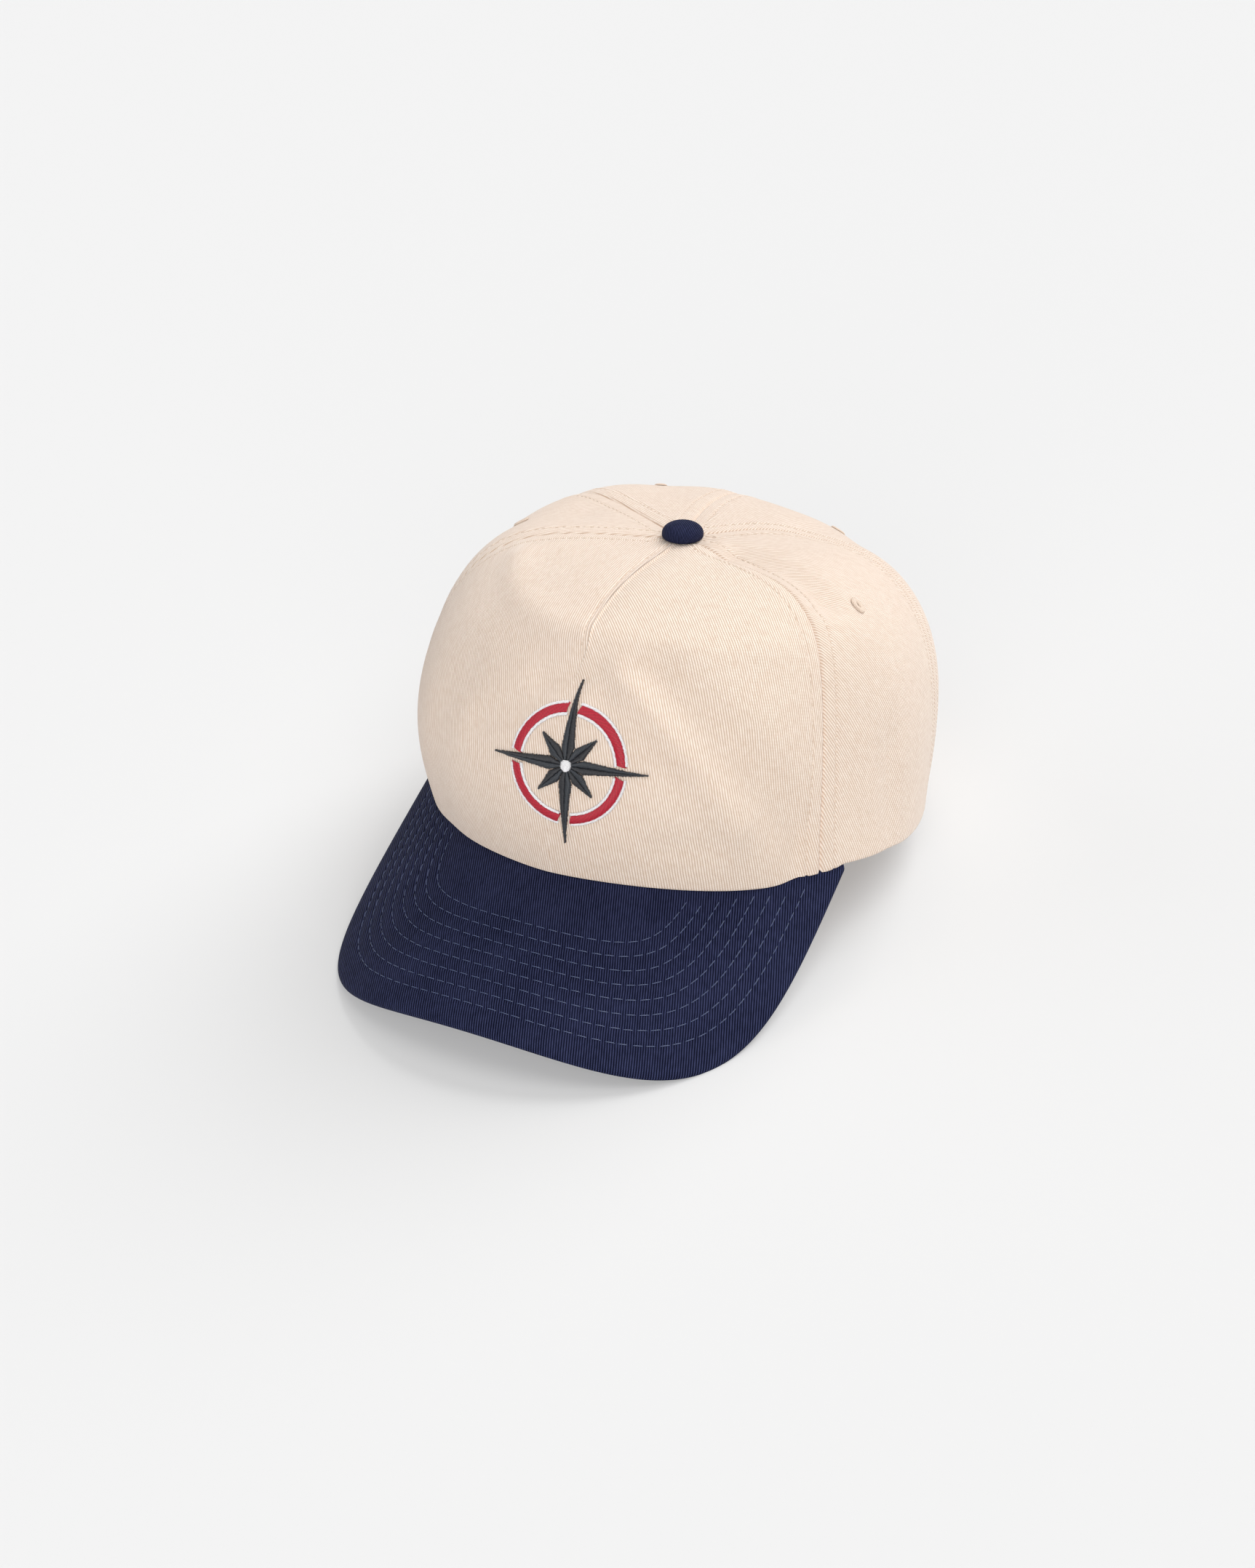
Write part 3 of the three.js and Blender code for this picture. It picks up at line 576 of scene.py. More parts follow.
# Deep colours are painted shade in the grooves between cords or plies; the navy twill's light colour
# is also a painted highlight on its cords.
cream_twill = woven_material(
    "cream_twill", twill_group, (0.58, 0.40, 0.28), (0.96, 0.85, 0.755), 0.13,
    {"Wale": 0.86, "Unevenness": 0.10, "Sharpness": 0.5}, rough=0.9, sheen=0.25)
navy_twill = woven_material(
    "navy_twill", twill_group, (0.001, 0.002, 0.011), (0.050, 0.059, 0.140), 0.2,
    {"Wale": 0.86, "Unevenness": 0.25, "Sharpness": 1.3}, rough=0.6, sheen=0.0, specular=0.05)
cream_thread = woven_material(
    "cream_thread", thread_group, (0.48, 0.34, 0.24), (0.90, 0.76, 0.64), 0.05,
    {"Twist": 0.55}, rough=0.6, sheen=0.1, specular=0.4)
navy_thread = woven_material(
    "navy_thread", thread_group, (0.010, 0.015, 0.05), (0.075, 0.105, 0.22), 0.05,
    {"Twist": 0.7}, rough=0.35, sheen=0.0, specular=0.8)
charcoal_thread = woven_material(
    "charcoal_thread", thread_group, (0.006, 0.006, 0.008), (0.030, 0.031, 0.037), 0.04,
    {"Twist": 1.4}, rough=0.42, sheen=0.0, specular=0.6)
grey_thread = woven_material(
    "grey_thread", thread_group, (0.009, 0.010, 0.013), (0.036, 0.043, 0.054), 0.04,
    {"Twist": 1.4}, rough=0.42, sheen=0.0, specular=0.6)
red_thread = woven_material(
    "red_thread", thread_group, (0.25, 0.003, 0.012), (0.55, 0.008, 0.035), 0.04,
    {"Twist": 1.4}, rough=0.42, sheen=0.0, specular=0.6)
white_thread = woven_material(
    "white_thread", thread_group, (0.62, 0.60, 0.62), (0.93, 0.92, 0.93), 0.04,
    {"Twist": 1.4}, rough=0.45, sheen=0.0, specular=0.5)
print("materials:", [m.name for m in bpy.data.materials if m.name.endswith(("twill", "thread"))])

# %% [markdown]
# ## Meshes from arrays
# Every piece is made the same way: an array of points, arrays of faces and a
# place on the cloth for each point, all worked out at once and handed to the
# mesh in bulk.
# %% Hand arrays to a mesh


def new_piece(name, points, faces, cloth, material, slot, nodes=()):
    """A finished piece from points in the cap's frame, faces as arrays with one
    row a face, and cloth places in millimetres."""
    mesh = bpy.data.meshes.new(name)
    corners = np.concatenate([part.ravel() for part in faces])
    sizes = np.concatenate([np.full(len(part), part.shape[1]) for part in faces])
    mesh.vertices.add(len(points))
    mesh.vertices.foreach_set("co", on_table(points).ravel())
    mesh.loops.add(len(corners))
    mesh.loops.foreach_set("vertex_index", corners.astype(np.int32))
    mesh.polygons.add(len(sizes))
    mesh.polygons.foreach_set("loop_start", (np.cumsum(sizes) - sizes).astype(np.int32))
    mesh.polygons.foreach_set("use_smooth", np.ones(len(sizes), dtype=bool))
    mesh.update(calc_edges=True)
    layer = mesh.uv_layers.new(name="cloth")
    layer.data.foreach_set("uv", cloth[corners].astype(np.float32).ravel())
    mesh.validate()
    mesh.materials.append(material)
    piece = bpy.data.objects.new(name, mesh)
    bpy.context.scene.collection.objects.link(piece)
    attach(piece, "root")
    if nodes:
        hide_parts(*nodes)
    triangles = int((sizes - 2).sum())
    print(f"{name}: {triangles} triangles")
    return piece


def edge_rounding(distance, thick):
    """How far a face draws back near an edge, so that both faces of a wall meet
    there in a half round: the radius less a circle's height over the distance."""
    half = thick / 2
    return half - np.sqrt(np.maximum(half**2 - np.maximum(half - distance, 0) ** 2, 0))


def leaned(x, y, lean):
    """Places across and along cords that lean by an angle."""
    cos, sin = math.cos(lean), math.sin(lean)
    return x * cos + y * sin, -x * sin + y * cos


def grid_faces(index, keep=None):
    """Quads between neighbouring entries of a grid of point numbers."""
    quads = np.stack([index[:-1, :-1], index[:-1, 1:], index[1:, 1:], index[1:, :-1]], axis=-1)
    return quads[keep] if keep is not None else quads.reshape(-1, 4)


# %% [markdown]
# ## Stitches
# A stitch is a short length of thread that dives into the cloth at both ends.
# Each one is a thin tube that narrows and sinks at its ends. A whole row is made
# at once: an array of tubes, with a few dozen faces each.
# %% Tubes and stitches


def tubes(centres, upward, wide, tall, sides=6):
    """Tubes along rows of centres: each ring is an ellipse, wide across the thread
    and tall along the upward direction. Returns points, faces and cloth places."""
    count, rings = centres.shape[:2]
    ahead = unit(np.gradient(centres, axis=1))
    aside = unit(np.cross(ahead, upward))
    above = np.cross(aside, ahead)
    angles = np.arange(sides) * 2 * math.pi / sides
    wide = np.broadcast_to(wide, (count, rings))[..., None, None]
    tall = np.broadcast_to(tall, (count, rings))[..., None, None]
    points = (centres[:, :, None] + aside[:, :, None] * np.cos(angles)[:, None] * wide
              + above[:, :, None] * np.sin(angles)[:, None] * tall)
    index = np.arange(count * rings * sides).reshape(count, rings, sides)
    loop = np.concatenate([index, index[..., :1]], axis=-1)
    quads = np.stack([loop[:, :-1, :-1], loop[:, :-1, 1:], loop[:, 1:, 1:], loop[:, 1:, :-1]],
                     axis=-1).reshape(-1, 4)
    ends = np.concatenate([index[:, 0, ::-1], index[:, -1]])
    steps = np.linalg.norm(np.diff(centres, axis=1), axis=-1)
    lengths = np.concatenate([np.zeros((count, 1)), np.cumsum(steps, axis=1)], axis=1)
    along = lengths + (np.arange(count) * 7.31 % 5)[:, None]
    cloth = np.stack(np.broadcast_arrays(along[..., None] / map_mm, angles / (2 * math.pi)), axis=-1)
    return points.reshape(-1, 3), [quads[:, ::-1], ends[:, ::-1]], cloth.reshape(-1, 2)


def joined(parts):
    """Several sets of points, faces and cloth places as one."""
    starts = np.cumsum([0] + [len(points) for points, _, _ in parts])
    faces = [face + start for (_, group, _), start in zip(parts, starts) for face in group]
    return (np.concatenate([p for p, _, _ in parts]), faces,
            np.concatenate([c for _, _, c in parts]))


seam_pitch, seam_visible, seam_thread = 2.6, 2.05, 0.45
brim_pitch, brim_visible, brim_thread = 4.8, 4.3, 0.36
stitch_steps = np.linspace(0, 1, 6)
stitch_lift = np.array([-0.30, 0.05, 0.15, 0.15, 0.05, -0.30])
stitch_taper = np.array([0.55, 0.9, 1.0, 1.0, 0.9, 0.55])


def stitch_row(path, faces_up, seed, pitch=seam_pitch, visible=seam_visible, thread=seam_thread):
    """Stitches along a path of points: starts a pitch apart, each with its visible
    length, laid by their distance along the path."""
    lengths = np.concatenate([[0], np.cumsum(np.linalg.norm(np.diff(path, axis=0), axis=1))])
    count = max(1, int((lengths[-1] - visible) / pitch) + 1)
    chance = np.random.default_rng(seed)
    starts = np.arange(count) * pitch + chance.uniform(-0.06, 0.06, count) * pitch
    lengths_seen = visible * chance.uniform(0.94, 1.04, (count, 1))
    at = starts[:, None] + stitch_steps[None, :] * lengths_seen
    read = lambda table: np.stack([np.interp(at, lengths, table[:, k]) for k in range(3)], axis=-1)
    upward = unit(read(faces_up))
    centres = read(path) + upward * stitch_lift[None, :, None] * (thread / seam_thread)
    aside = np.cross(unit(np.gradient(centres, axis=1)), upward)
    centres = centres + aside * chance.uniform(-0.07, 0.07, (count, 1, 1))
    return tubes(centres, upward, stitch_taper * thread / 2, stitch_taper * thread / 2 * 0.9)


print("faces in one stitch:", 6 * 5 + 2)

# %% [markdown]
# ## Panels
# A panel's grid runs from its lower edge to the button and from seam to seam.
# Rows and columns lie closer together beside the seams, the dart and the lower
# edge, where the cloth bends most. The two back panels start at the arch that
# is cut out above the band: a patch stretched between four border curves takes
# the grid round it. The cloth is a closed wall with its lower edge folded round.
# %% The arch at the back
arch_half_width, arch_height = 38.0, 52.0
arch_shoulder = arch_height - arch_half_width


def back_place(x, height):
    """Turn and up of a point of the back given by how far aside and how high it
    is: a few rounds of reading the reach and turning to fit."""
    turn = 180 - np.degrees(np.arcsin(np.clip(x / crown_back_reach, -1, 1)))
    for _ in range(12):
        up = up_at_height(turn, height)
        reach, _, rise = section_point(turn, up)
        share = np.clip((x - crown_top_left * rise) / reach, -1, 1)
        turn = 180 - np.degrees(np.arcsin(share))
    return turn, up_at_height(turn, height)


def arch_curve(side, steps=160):
    """The lower edge of a back panel beside the arch: up its side, then round to
    the centre seam. side is 1 on the wearer's left and -1 on the right."""
    angles = np.linspace(0, math.pi / 2 + 0.25, steps)
    x = np.concatenate([np.full(24, arch_half_width), arch_half_width * np.cos(angles)]) * side
    height = np.concatenate([np.linspace(0.6, arch_shoulder, 24, endpoint=False),
                             arch_shoulder + arch_half_width * np.sin(angles)])
    turn, up = back_place(x, height)
    past = (turn_between(turn, seam_turn(seams[3], up)) * side) < 0
    last = int(np.argmax(past)) if past.any() else len(turn)
    return turn[:last], up[:last]


def even_up(share):
    """The up at a share of the cloth's length from hem to button."""
    return np.interp(share, even_share, table_ups)


def share_of_up(up):
    return np.interp(up, table_ups, even_share)


print("arch points:", len(arch_curve(1)[0]), len(arch_curve(-1)[0]))

# %% The patch between four borders


def next_seam(index):
    if index < 4:
        return seams[index + 1]
    return seams[0] + np.array([360, 360, 0])


def lower_border(index):
    """A table from a share across to the turn and the length share of the edge."""
    left, right = seams[index], next_seam(index)
    if index == 2:
        arch_turn, arch_up = arch_curve(1)
        hem = np.linspace(left[0], arch_turn[0], 80, endpoint=False)
        end_up = arch_up[-1]
        turn = np.concatenate([hem, arch_turn, [seam_turn(right, end_up)]])
        up = np.concatenate([hem * 0, arch_up, [end_up]])
    elif index == 3:
        arch_turn, arch_up = arch_curve(-1)
        hem = np.linspace(right[0], arch_turn[0], 80, endpoint=False)[::-1]
        end_up = arch_up[-1]
        turn = np.concatenate([[seam_turn(left, end_up)], arch_turn[::-1], hem])
        up = np.concatenate([[end_up], arch_up[::-1], hem * 0])
    else:
        turn = np.linspace(left[0], right[0], 80)
        up = turn * 0
    spots = crown_point(turn, np.maximum(up, 0.002))
    lengths = np.concatenate([[0], np.cumsum(np.linalg.norm(np.diff(spots, axis=0), axis=1))])
    return lengths / lengths[-1], turn, share_of_up(up), lengths[-1]


def patch(index, across, along):
    """Turn and up over a panel: the blend of its lower and upper borders plus the
    blend of its two seams, less the blend of its four corners."""
    shares, low_turn, low_share, _ = lower_border(index)
    left, right = seams[index], next_seam(index)
    low = np.stack([np.interp(across, shares, low_turn), np.interp(across, shares, low_share)])
    ends = np.stack([seam_turn(left, panel_top), seam_turn(right, panel_top)])
    high = np.stack([ends[0] + (ends[1] - ends[0]) * across, np.ones_like(across)])

    def seam_side(seam, start):
        share = start + (1 - start) * along
        return np.stack([seam_turn(seam, even_up(share)), share])

    first, last = low_share[0], low_share[-1]
    sides = (1 - across) * seam_side(left, first) + across * seam_side(right, last)
    corner = lambda turn, share: np.array([turn, share])[:, None, None]
    corners = ((1 - across) * (1 - along) * corner(low_turn[0], first)
               + across * (1 - along) * corner(low_turn[-1], last)
               + (1 - across) * along * corner(ends[0], 1)
               + across * along * corner(ends[1], 1))
    turn, share = (1 - along) * low + along * high + sides - corners
    return turn, even_up(share)


seam_offsets = np.array([0, .2, .45, .8, 1.3, 2, 2.9, 3.8, 4.6, 5.2, 5.6, 6.0, 6.6, 7.6, 9, 11])
dart_offsets = np.array([-6, -4, -2.8, -2.3, -2, -1.7, -1.3, -.8, -.4, -.1, .1, .25, .4, .55,
                         .7, 1.1, 1.7, 2.7, 4, 6])
edge_offsets = np.array([0, .06, .16, .3, .5, .75, 1.05, 1.6])


def columns_between(start, end, count):
    """Even columns between two sets of places, leaving both out."""
    steps = np.arange(1, count + 1) / (count + 1)
    return start[:, None] + (end - start)[:, None] * steps[None, :]


def across_shares(width, middle, dart_share=None):
    """Shares across for each row: offsets in millimetres beside each seam and the
    dart, shrunk where the panel is narrow, and even columns between."""
    fixed = seam_offsets[None, :] * np.minimum(1, 0.36 * width / seam_offsets[-1])[:, None]
    fixed = fixed / width[:, None]
    if dart_share is None:
        between = columns_between(fixed[:, -1], 1 - fixed[:, -1], middle)
        return np.concatenate([fixed, between, 1 - fixed[:, ::-1]], axis=1)
    dart = dart_offsets[None, :] * np.minimum(1, 0.1 * width / dart_offsets[-1])[:, None]
    dart = dart_share[:, None] + dart / width[:, None]
    half = middle // 2
    return np.concatenate([
        fixed, columns_between(fixed[:, -1], dart[:, 0], half), dart,
        columns_between(dart[:, -1], 1 - fixed[:, -1], half), 1 - fixed[:, ::-1]], axis=1)


print("columns beside a seam:", len(seam_offsets))

# %% Grids of turn and up for each panel
panel_names = ["front_panel", "left_side_panel", "left_back_panel", "right_back_panel",
               "right_side_panel"]
panel_columns = [112, 44, 66, 62, 44]
panel_rows, panel_length = 118, 165


def panel_grid(index):
    """Turn, up and the distance from the lower edge over a panel's grid."""
    shares, low_turn, low_share, _ = lower_border(index)
    along = np.linspace(0, 1, panel_rows)
    at_edges = patch(index, np.tile([[0.0, 1.0]], (panel_rows, 1)), np.tile(along[:, None], 2))
    middle_up = at_edges[1].mean(axis=1)
    reach = section_point(at_edges[0].mean(axis=1), middle_up)[0]
    width = np.maximum(np.abs(np.diff(at_edges[0], axis=1))[:, 0] * degree * reach, 1.0)
    if index == 2 or index == 3:
        width = np.minimum(width, lower_border(index)[3])
    dart_share = None
    if index == 0:
        spread = np.diff(at_edges[0], axis=1)[:, 0]
        dart_share = (dart_turn(middle_up) - at_edges[0][:, 0]) / spread
    edges = len(edge_offsets)
    full = panel_length * (1 - np.interp(np.linspace(0, 1, 400), shares, low_share))
    table = lambda rows: across_shares(
        np.interp(rows, along, width), panel_columns[index],
        None if dart_share is None else np.interp(rows, along, dart_share))
    even_rows = np.linspace(edge_offsets[-1] / panel_length, 1, panel_rows - edges + 1)[1:]
    row_places = np.concatenate([edge_offsets / panel_length, even_rows])
    across = table(row_places)
    length = np.interp(across, np.linspace(0, 1, 400), full)
    first = edge_offsets[:, None] / length[:edges]
    steps = np.linspace(0, 1, panel_rows - edges + 1)[1:, None]
    rest = first[-1][None, :] + (1 - first[-1])[None, :] * steps
    rows = np.concatenate([first, rest])
    turn, up = patch(index, across, rows)
    distance = np.broadcast_to(
        np.concatenate([edge_offsets, np.full(panel_rows - edges, 9.0)])[:, None], turn.shape)
    return turn, up, distance


print("rows in a panel:", panel_rows)

# %% Cloth places on a panel, and the eyelets
eyelet_places = {1: (0.36, 0.45), 2: (0.5, 0.45), 3: (0.5, 0.45), 4: (0.5, 0.45)}


def powers(points):
    """Every product of x, y and z up to the fourth power, with each over its size."""
    x, y, z = np.moveaxis(points / np.array([95.0, 95.0, 110.0]), -1, 0)
    return np.stack([x**i * y**j * z**k for i in range(5) for j in range(5 - i)
                     for k in range(5 - i - j)], axis=-1)


def cord_lean(index, turn, up, half):
    """Degrees that the cords lean towards the wearer's left as they go up. Low
    down they follow the panel. On top each piece lies flat, with its cords
    straight, so there the lean grows as fast as the turn. half tells the two
    sides of the dart apart."""
    if index > 0:
        middle = (seams[index][0] + next_seam(index)[0]) / 2
        flat = np.interp(up, [0, 0.3, 0.6], [0, 0.3, 1])
        return np.interp(up, [0, 0.35], [-18, -28]) + flat * (turn - middle)
    heights = [0, 0.12, 0.25, 0.42, 0.6]
    base = np.interp(up, heights, [-4, -11, -20, -32, -26 - 22 * half])
    return base + np.interp(up, heights, [-0.17, 0, 0.3, 0.55, 1.0]) * turn


def plain_powers(turn, up):
    """The products for a point of the crown without its relief."""
    return powers(crown_point(turn, up, detail=0.0))


def fit_cords(index):
    """Least squares: the mix of products whose slope is one across the cords and
    nought along them. The front has a mix for each side of the dart, and the
    two are equal below it."""
    left, right = seams[index][0], next_seam(index)[0]
    sides = [(left - 4, right + 4, 1)]
    if index == 0:
        sides = [(left - 4, 2.0, -1), (-2.0, right + 4, 1)]
    rows, wanted = [], []
    for number, (low, high, half) in enumerate(sides):
        turn, up = np.meshgrid(np.linspace(low, high, 26), np.linspace(0.012, 0.97, 44))
        lean = cord_lean(index, turn, up, half) * degree
        for d_turn, d_up, want in ((0.5, 0.0, np.cos(lean)), (0.0, 0.006, -np.sin(lean))):
            ends = [(turn + s * d_turn, up + s * d_up) for s in (1, -1)]
            step = crown_point(*ends[0], detail=0.0) - crown_point(*ends[1], detail=0.0)
            slope = plain_powers(*ends[0]) - plain_powers(*ends[1])
            slope = (slope / np.linalg.norm(step, axis=-1)[..., None]).reshape(turn.size, -1) * 100
            blank = [np.zeros_like(slope)] * (len(sides) - 1)
            row = [slope, *blank] if number == 0 else [*blank, slope]
            rows.append(np.concatenate(row, axis=1))
            wanted.append(want.ravel())
    if index == 0:
        low = np.linspace(0.01, 0.44, 30)
        both = plain_powers(dart_turn(low), low) * 30
        rows.append(np.concatenate([both, -both], axis=1))
        wanted.append(np.zeros(30))
    mix = np.linalg.lstsq(np.concatenate(rows), np.concatenate(wanted), rcond=1e-6)[0]
    return mix.reshape(len(sides), -1).T * 100


def panel_cloth(index, turn, up):
    """Places across and along the twill's cords on the cloth map."""
    mixed = plain_powers(turn, up) @ fit_cords(index)
    right_of_dart = (turn >= dart_turn(up)) & (index == 0)
    across = np.where(right_of_dart, mixed[..., -1], mixed[..., 0])
    return np.stack([across, length_up(turn, up)], axis=-1) / map_mm


def eyelet_turn(index):
    share, up = eyelet_places[index]
    low, high = seam_turn(seams[index], up), seam_turn(next_seam(index), up)
    return float(low + (high - low) * share), up


def wall(index_a, index_b):
    """Quads between two rows of point numbers."""
    return np.stack([index_a[:-1], index_a[1:], index_b[1:], index_b[:-1]], axis=-1)


def make_panel(index):
    """A closed wall of cloth: outer and inner faces that meet in a half round at
    the lower edge, walls at the seams and on top, and a hole for the eyelet."""
    turn, up, distance = panel_grid(index)
    rounding = edge_rounding(distance, cloth_thick)
    outer = crown_point(turn, up, rounding)
    inner = crown_point(turn, up, cloth_thick - rounding)
    rows, columns = turn.shape
    out_index = np.arange(rows * columns).reshape(rows, columns)
    in_index = out_index + rows * columns
    in_index[0] = out_index[0]
    keep = np.ones((rows - 1, columns - 1), bool)
    faces = []
    if index in eyelet_places:
        centre = crown_point(*[np.array(v) for v in eyelet_turn(index)])
        middles = (outer[:-1, :-1] + outer[1:, 1:]) / 2
        hole = np.linalg.norm(middles - centre, axis=-1) < 1.7
        keep &= ~hole
        for shift_row, shift_column in ((0, 1), (0, -1), (1, 0), (-1, 0)):
            beside = np.roll(hole, (shift_row, shift_column), axis=(0, 1)) & ~hole
            j, i = np.nonzero(beside)
            low = {(0, 1): (j, i, j + 1, i), (0, -1): (j + 1, i + 1, j, i + 1),
                   (1, 0): (j, i + 1, j, i), (-1, 0): (j + 1, i, j + 1, i + 1)}[
                       (shift_row, shift_column)]
            a, b = (low[0], low[1]), (low[2], low[3])
            faces.append(np.stack([out_index[a], in_index[a], in_index[b], out_index[b]], axis=-1))
    faces += [grid_faces(out_index, keep), grid_faces(in_index, keep)[:, ::-1],
              wall(in_index[1:, 0], out_index[1:, 0])[:, ::-1],
              wall(out_index[1:, -1], in_index[1:, -1])[:, ::-1],
              wall(out_index[-1], in_index[-1])]
    for column, flip in ((0, 1), (-1, -1)):
        a, b, c = out_index[0, column], out_index[1, column], in_index[1, column]
        faces.append(np.array([[a, b, c][::flip]]))
    cloth = panel_cloth(index, turn, up).reshape(-1, 2)
    points = np.concatenate([outer.reshape(-1, 3), inner.reshape(-1, 3)])
    return new_piece(panel_names[index] + "_cloth", points, faces, np.concatenate([cloth, cloth]),
                     cream_twill, "cream_twill", [panel_names[index]])


panel_pieces = [make_panel(index) for index in range(5)]

# %% [markdown]
# ## Rows of stitches on the crown
# Two rows run beside every seam from the edge up to the button, one row follows
# the dart, and two rows follow the arch and the hem beside it at the back.
# %% Sew the crown
crown_rows = []
for number, seam in enumerate(seams):
    first_up = arch_curve(1)[1][-1] + 0.02 if number == 3 else 0.012
    ups = np.linspace(first_up, 0.955, 400)
    for side in (-1, 1):
        reach = section_point(seam_turn(seam, ups), ups)[0]
        aside = side * np.minimum(stitch_aside, reach * 0.42)
        turns = seam_turn(seam, ups) + aside / reach / degree
        crown_rows.append(stitch_row(crown_point(turns, ups), crown_normal(turns, ups),
                                     seed=10 + number * 2 + side))
ups = np.linspace(dart_start + 0.005, 0.955, 300)
reach = section_point(dart_turn(ups), ups)[0]
turns = dart_turn(ups) - np.minimum(dart_sewn, reach * 0.25) / reach / degree
crown_rows.append(stitch_row(crown_point(turns, ups), crown_normal(turns, ups), seed=7))

for side in (1, -1):
    index = 2 if side == 1 else 3
    arch_shares, _, arch_lows, _ = lower_border(index)
    for offset in (3.5, 9.0):
        across = np.linspace(0.055, 0.985, 400) if side == 1 else np.linspace(0.015, 0.945, 400)
        lengths = panel_length * (1 - np.interp(across, arch_shares, arch_lows))
        turns, ups = patch(index, across[None, :], (offset / lengths)[None, :])
        crown_rows.append(stitch_row(crown_point(turns[0], ups[0]), crown_normal(turns[0], ups[0]),
                                     seed=31 + side + int(offset)))
crown_stitches = new_piece("crown_stitches", *joined(crown_rows), cream_thread, "cream_thread")
print("rows:", len(crown_rows))

# %% [markdown]
# ## Brim
# Stiff board covered in navy twill: an upper and an under cloth folded round
# one rounded edge and held by eight rows of stitches. The outline is worked out
# from above and dropped onto an arch that falls to the front. The rows are true
# offsets of the outline, so the distance to the edge is worked out for every
# point, and the relief presses a fine channel along each row by it.
# %% The brim's outline and surface


def brim_edge(share):
    """The outline from above, from the wearer's right end round to the left."""
    angle = (share - 0.5) * math.pi
    ahead = np.maximum(0, np.cos(angle)) ** (2 / brim_front_roundness)
    narrow = 1 - brim_taper * (1 - ahead) ** 2
    across = np.sign(np.sin(angle)) * np.abs(np.sin(angle)) ** (2 / brim_side_roundness)
    return np.stack([brim_half_width * across * narrow,
                     -brim_root_line - brim_reach * ahead], axis=-1)


def brim_point(spots, depth):
    """A point below the upper face by a depth measured square to it."""
    x, y = spots[..., 0], spots[..., 1]
    face = unit(np.stack([2 * brim_arch * x / brim_half_width**2,
                          np.full_like(x, -brim_fall / brim_length), np.ones_like(x)], axis=-1))
    return np.stack([x, y, brim_top(x, y)], axis=-1) - face * np.asarray(depth)[..., None], face


edge_table = brim_edge(np.linspace(0, 1, 6001))
edge_length = np.concatenate([[0], np.cumsum(np.linalg.norm(np.diff(edge_table, axis=0), axis=1))])
even_edge = lambda count: np.stack(
    [np.interp(np.linspace(0, edge_length[-1], count), edge_length, edge_table[:, k])
     for k in (0, 1)], axis=-1)
outline = even_edge(900)


def edge_distance(spots):
    """Distance from above to the outline, to the nearest of its short pieces."""
    start, line = outline[:-1], np.diff(outline, axis=0)
    flat = spots.reshape(-1, 2)
    best = np.full(len(flat), 1e9)
    for group in np.array_split(np.arange(len(start)), 30):
        way = flat[:, None] - start[group]
        share = np.clip((way * line[group]).sum(-1) / (line[group] ** 2).sum(-1), 0, 1)
        gap = np.linalg.norm(way - share[..., None] * line[group], axis=-1).min(axis=1)
        best = np.minimum(best, gap)
    return best.reshape(spots.shape[:-1])


row_insets = 8.5 + 4.2 * np.arange(8)


def brim_relief(distance):
    """Channels at the rows and a slight puff between them."""
    channel = np.exp(-(((distance[..., None] - row_insets) / 0.8) ** 2)).sum(-1)
    roll = 0.35 * np.exp(-(((distance - 3.2) / 2.2) ** 2))
    return roll * 0.4 - 0.3 * channel


print("edge length, mm:", edge_length[-1].round(1), "rows:", len(row_insets))

# %% Build the brim
stations, brim_steps = 380, 96


def make_brim():
    """Upper and under faces between the tucked edge and the outline, meeting in a
    half round at the outline."""
    turn = np.linspace(-brim_end_turn, brim_end_turn, stations)
    inner_reach = hem_reach(turn) - brim_tuck
    start = np.stack([inner_reach * np.sin(turn * degree),
                      -inner_reach * np.cos(turn * degree)], axis=-1)
    end = even_edge(stations)
    width = np.linalg.norm(end - start, axis=-1)
    near = np.array([0, .04, .15, .35, .65, 1.0, 1.4, 2.0])[None, :]
    near = near * np.minimum(1, width / 6)[:, None]
    rest = 1 - near[:, -1] / width
    shares = np.concatenate([np.linspace(0, 1, brim_steps)[None, :] * rest[:, None],
                             1 - near[:, -2::-1] / width[:, None]], axis=1)
    spots = start[:, None] + (end - start)[:, None] * shares[..., None]
    distance = edge_distance(spots)
    rounding = edge_rounding(distance, brim_thick)
    held = smooth(1.0, 3.0, distance)
    stand = brim_relief(distance) * held
    upper, _ = brim_point(spots, rounding - stand)
    under, _ = brim_point(spots, brim_thick - rounding + stand * 0.8)
    rows, columns = distance.shape
    up_index = np.arange(rows * columns).reshape(rows, columns)
    low_index = up_index + rows * columns
    low_index[:, -1] = up_index[:, -1]
    faces = [grid_faces(up_index)[:, ::-1], grid_faces(low_index),
             wall(up_index[:, 0], low_index[:, 0])[:, ::-1],
             wall(up_index[0, :-1], low_index[0, :-1]),
             wall(up_index[-1, :-1], low_index[-1, :-1])[:, ::-1]]
    for row, flip in ((0, -1), (-1, 1)):
        tip = [up_index[row, -2], up_index[row, -1], low_index[row, -2]][::flip]
        faces.append(np.array([tip]))
    across, along = leaned(spots[..., 0], spots[..., 1], 24 * degree)
    cloth = np.stack([across, along * 1.15], axis=-1).reshape(-1, 2) / map_mm
    points = np.concatenate([upper.reshape(-1, 3), under.reshape(-1, 3)])
    return new_piece("brim_cloth", points, faces, np.concatenate([cloth, cloth]), navy_twill,
                     "navy_twill", ["brim"])


brim_piece = make_brim()

# %% Sew the brim


